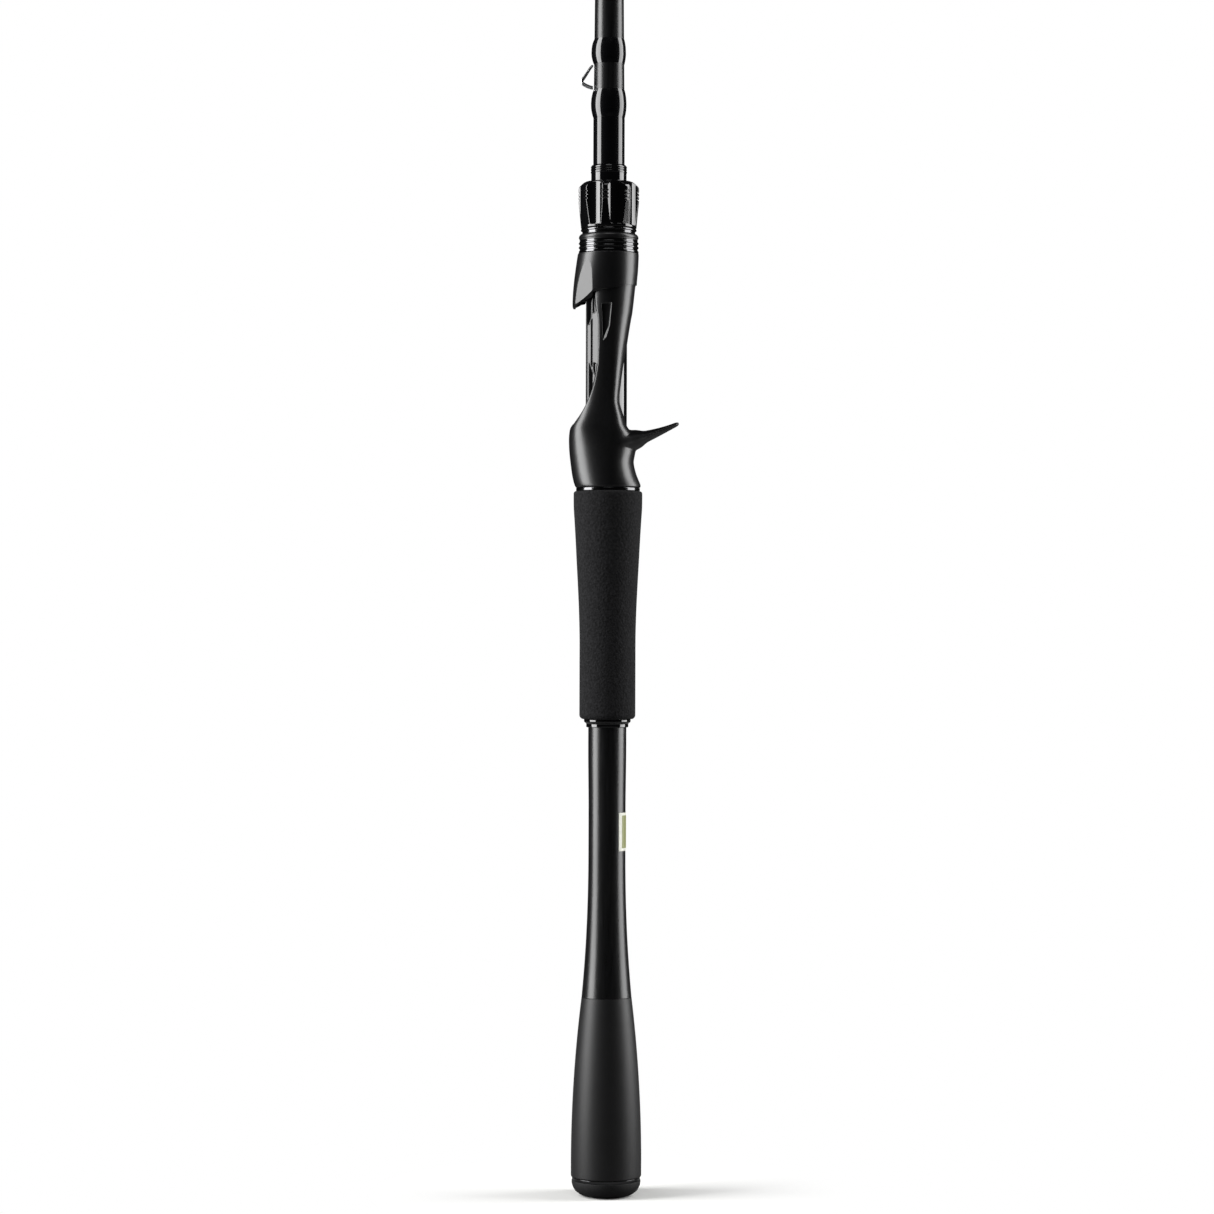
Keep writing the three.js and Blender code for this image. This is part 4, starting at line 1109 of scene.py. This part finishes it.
class ROD_OT_hook_keeper(bpy.types.Operator):
    """Build the folded wire of the hook keeper"""

    bl_idname = "rod.hook_keeper"
    bl_label = "Hook keeper"
    bl_options = {"REGISTER", "UNDO"}

    def execute(self, context):
        sizes = context.scene.rod_sizes
        low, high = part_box("hook_keeper")
        wire = sizes.wire / MM
        skin = BLANK_RADIUS + wire + 0.05
        out = -low.x / MM - wire
        foot, top, spread, eye = low.z / MM + wire, high.z / MM - wire, high.y / MM - wire, 0.95
        half = [(skin, spread * 0.8, foot + 0.2), (skin + 1.6, spread * 0.95, foot + 0.5),
                (out - 0.6, spread, foot + 1.8), (out, spread, foot + 2.9),
                (out - 1.5, spread * 0.85, foot + 4.7), (skin + 1.1, eye * 1.15, top - 1.1),
                (skin + 0.35, eye * 0.9, top - 0.3)]
        route = half + [(skin + 0.1, 0, top)] + [(reach, -y, up) for reach, y, up in reversed(half)]
        curve = bpy.data.curves.new("keeper_line", "CURVE")
        curve.dimensions = "3D"
        line = curve.splines.new("NURBS")
        line.points.add(len(route) - 1)
        for point, (reach, y, up) in zip(line.points, route):
            point.co = (-reach * MM, y * MM, up * MM, 1)
        line.use_endpoint_u, line.order_u, line.resolution_u = True, 4, 10
        curve.bevel_depth, curve.bevel_resolution, curve.use_fill_caps = wire * MM, 5, True
        drawn = bpy.data.objects.new("keeper_line", curve)
        bpy.context.scene.collection.objects.link(drawn)
        bpy.context.view_layer.update()
        graph = bpy.context.evaluated_depsgraph_get()
        mesh = bpy.data.meshes.new_from_object(drawn.evaluated_get(graph))
        bpy.data.objects.remove(drawn)
        made = bpy.data.objects.new("hook_keeper_wire", mesh)
        bpy.context.scene.collection.objects.link(made)
        dress(made, finish("steel"), HANDLE, "keeper_steel", "hook_keeper")
        return {"FINISHED"}


class ROD_OT_hidden_parts(bpy.types.Operator):
    """Give the plug, the arbors and the nut's inner sleeve their finish"""

    bl_idname = "rod.hidden_parts"
    bl_label = "Hidden parts"
    bl_options = {"REGISTER", "UNDO"}

    def execute(self, context):
        for name in ("butt_plug", "rear_arbor", "front_arbor", "nut_thread_sleeve"):
            part = frame["nodes"][name]
            part.data.materials.clear()
            part.data.materials.append(finish("filler"))
        return {"FINISHED"}


# ---- Stage ------------------------------------------------------------------------------------------


def softbox(name, place, aim, size, power):
    """A soft light at a place, turned towards the rod. Sizes are in metres and power in watts."""
    light = bpy.data.lights.new(name, "AREA")
    light.shape, light.energy = "RECTANGLE", power
    light.size, light.size_y = size
    made = bpy.data.objects.new(name, light)
    made.location = place
    made.rotation_euler = (Vector(aim) - made.location).to_track_quat("-Z", "Y").to_euler()
    made.visible_camera = False
    bpy.context.scene.collection.objects.link(made)


def beside(azimuth, distance, height):
    """A place round the rod. Azimuth is turned from -Y towards +X, in degrees."""
    turn = math.radians(azimuth)
    return distance * math.sin(turn), -distance * math.cos(turn), height


class ROD_OT_stage(bpy.types.Operator):
    """Build the pale floor, the studio light and the camera"""

    bl_idname = "rod.stage"
    bl_label = "Stage"
    bl_options = {"REGISTER", "UNDO"}

    def execute(self, context):
        colours = context.scene.rod_colours
        scene = context.scene
        scene.view_settings.view_transform = "Standard"
        middle = 0.72
        softbox("softbox_left", beside(-78, 0.9, middle), (0, 0, middle), (0.55, 1.5), 27)
        softbox("softbox_right", beside(94, 0.9, middle), (0, 0, middle), (0.58, 1.5), 19)
        softbox("overhead", (0, -0.55, 1.3), (0, 0, 0.4), (0.5, 0.4), 1.5)

        world = bpy.data.worlds.new("studio")
        scene.world = world
        world.use_nodes = True
        tree = world.node_tree
        tree.nodes.clear()
        rays = node(tree, "LightPath")
        dim = node(tree, "Background", {"Color": (0.012, 0.012, 0.012, 1)})
        bright = node(tree, "Background", {"Color": (1, 1, 1, 1)})
        seen = rays.outputs["Is Camera Ray"]
        mix = node(tree, "MixShader", {0: seen, 1: dim.outputs[0], 2: bright.outputs[0]})
        node(tree, "OutputWorld", {"Surface": mix.outputs[0]})

        bm = bmesh.new()
        bmesh.ops.create_circle(bm, cap_ends=True, segments=96, radius=6)
        mesh = bpy.data.meshes.new("floor")
        bm.to_mesh(mesh)
        bm.free()
        floor = bpy.data.objects.new("floor", mesh)
        scene.collection.objects.link(floor)
        mesh.materials.append(self.floor_paint(colours))

        camera = bpy.data.cameras.new("camera")
        camera.lens, camera.sensor_width = 97.2, 36
        aside, back, eye_level, lean = -0.27, 1377, 246.96, -0.166
        made = bpy.data.objects.new("camera", camera)
        scene.collection.objects.link(made)
        made.location = (aside * MM, -back * MM, eye_level * MM)
        made.rotation_euler = (math.pi / 2, math.radians(lean), 0)
        scene.camera = made
        return {"FINISHED"}

    def floor_paint(self, colours):
        """Matt white paint near the rod that runs out into an even white at a distance, and that is
        grey to everything but the eye, as a floor outside the lights is."""
        material = bpy.data.materials.new("studio_floor_paint")
        material.use_nodes = True
        tree = material.node_tree
        tree.nodes.clear()
        rays = node(tree, "LightPath")
        paint = node(tree, "BsdfDiffuse", {"Color": colours.floor})
        grey = node(tree, "BsdfDiffuse", {"Color": (0.16, 0.16, 0.16, 1)})
        even = node(tree, "Emission")
        place = node(tree, "TexCoord")
        distance = node(tree, "VectorMath", {0: place.outputs["Object"]}, operation="LENGTH")
        far = node(tree, "MapRange", {"Value": distance.outputs["Value"], "From Min": 0.02, "From Max": 0.1})
        white = node(tree, "MixShader", {0: far.outputs["Result"], 1: paint.outputs[0], 2: even.outputs[0]})
        seen = rays.outputs["Is Camera Ray"]
        mix = node(tree, "MixShader", {0: seen, 1: grey.outputs[0], 2: white.outputs[0]})
        node(tree, "OutputMaterial", {"Surface": mix.outputs[0]})
        return material


STEPS = (ROD_OT_stage, ROD_OT_butt, ROD_OT_tube, ROD_OT_label, ROD_OT_rear_grip, ROD_OT_reel_seat,
         ROD_OT_barrel, ROD_OT_hood, ROD_OT_hood_rings, ROD_OT_locking_nut, ROD_OT_blank, ROD_OT_spigot,
         ROD_OT_hook_keeper, ROD_OT_hidden_parts)


class ROD_PT_panel(bpy.types.Panel):
    """Lists the build steps and the sizes and colours that they read"""

    bl_idname = "ROD_PT_panel"
    bl_label = "Rod handle"
    bl_space_type = "VIEW_3D"
    bl_region_type = "UI"
    bl_category = "Rod"

    def draw(self, context):
        layout = self.layout
        for group in (context.scene.rod_sizes, context.scene.rod_colours):
            column_layout = layout.column(align=True)
            for name in group.__annotations__:
                column_layout.prop(group, name)
        for step in STEPS:
            layout.operator(step.bl_idname)


CLASSES = (RodSizes, RodColours, *STEPS, ROD_PT_panel)


def register():
    for one in CLASSES:
        bpy.utils.register_class(one)
    bpy.types.Scene.rod_sizes = bpy.props.PointerProperty(type=RodSizes)
    bpy.types.Scene.rod_colours = bpy.props.PointerProperty(type=RodColours)


def unregister():
    del bpy.types.Scene.rod_colours
    del bpy.types.Scene.rod_sizes
    for one in reversed(CLASSES):
        bpy.utils.unregister_class(one)


def main():
    register()
    for step in STEPS:
        group, name = step.bl_idname.split(".")
        getattr(getattr(bpy.ops, group), name)()


if __name__ == "__main__":
    main()
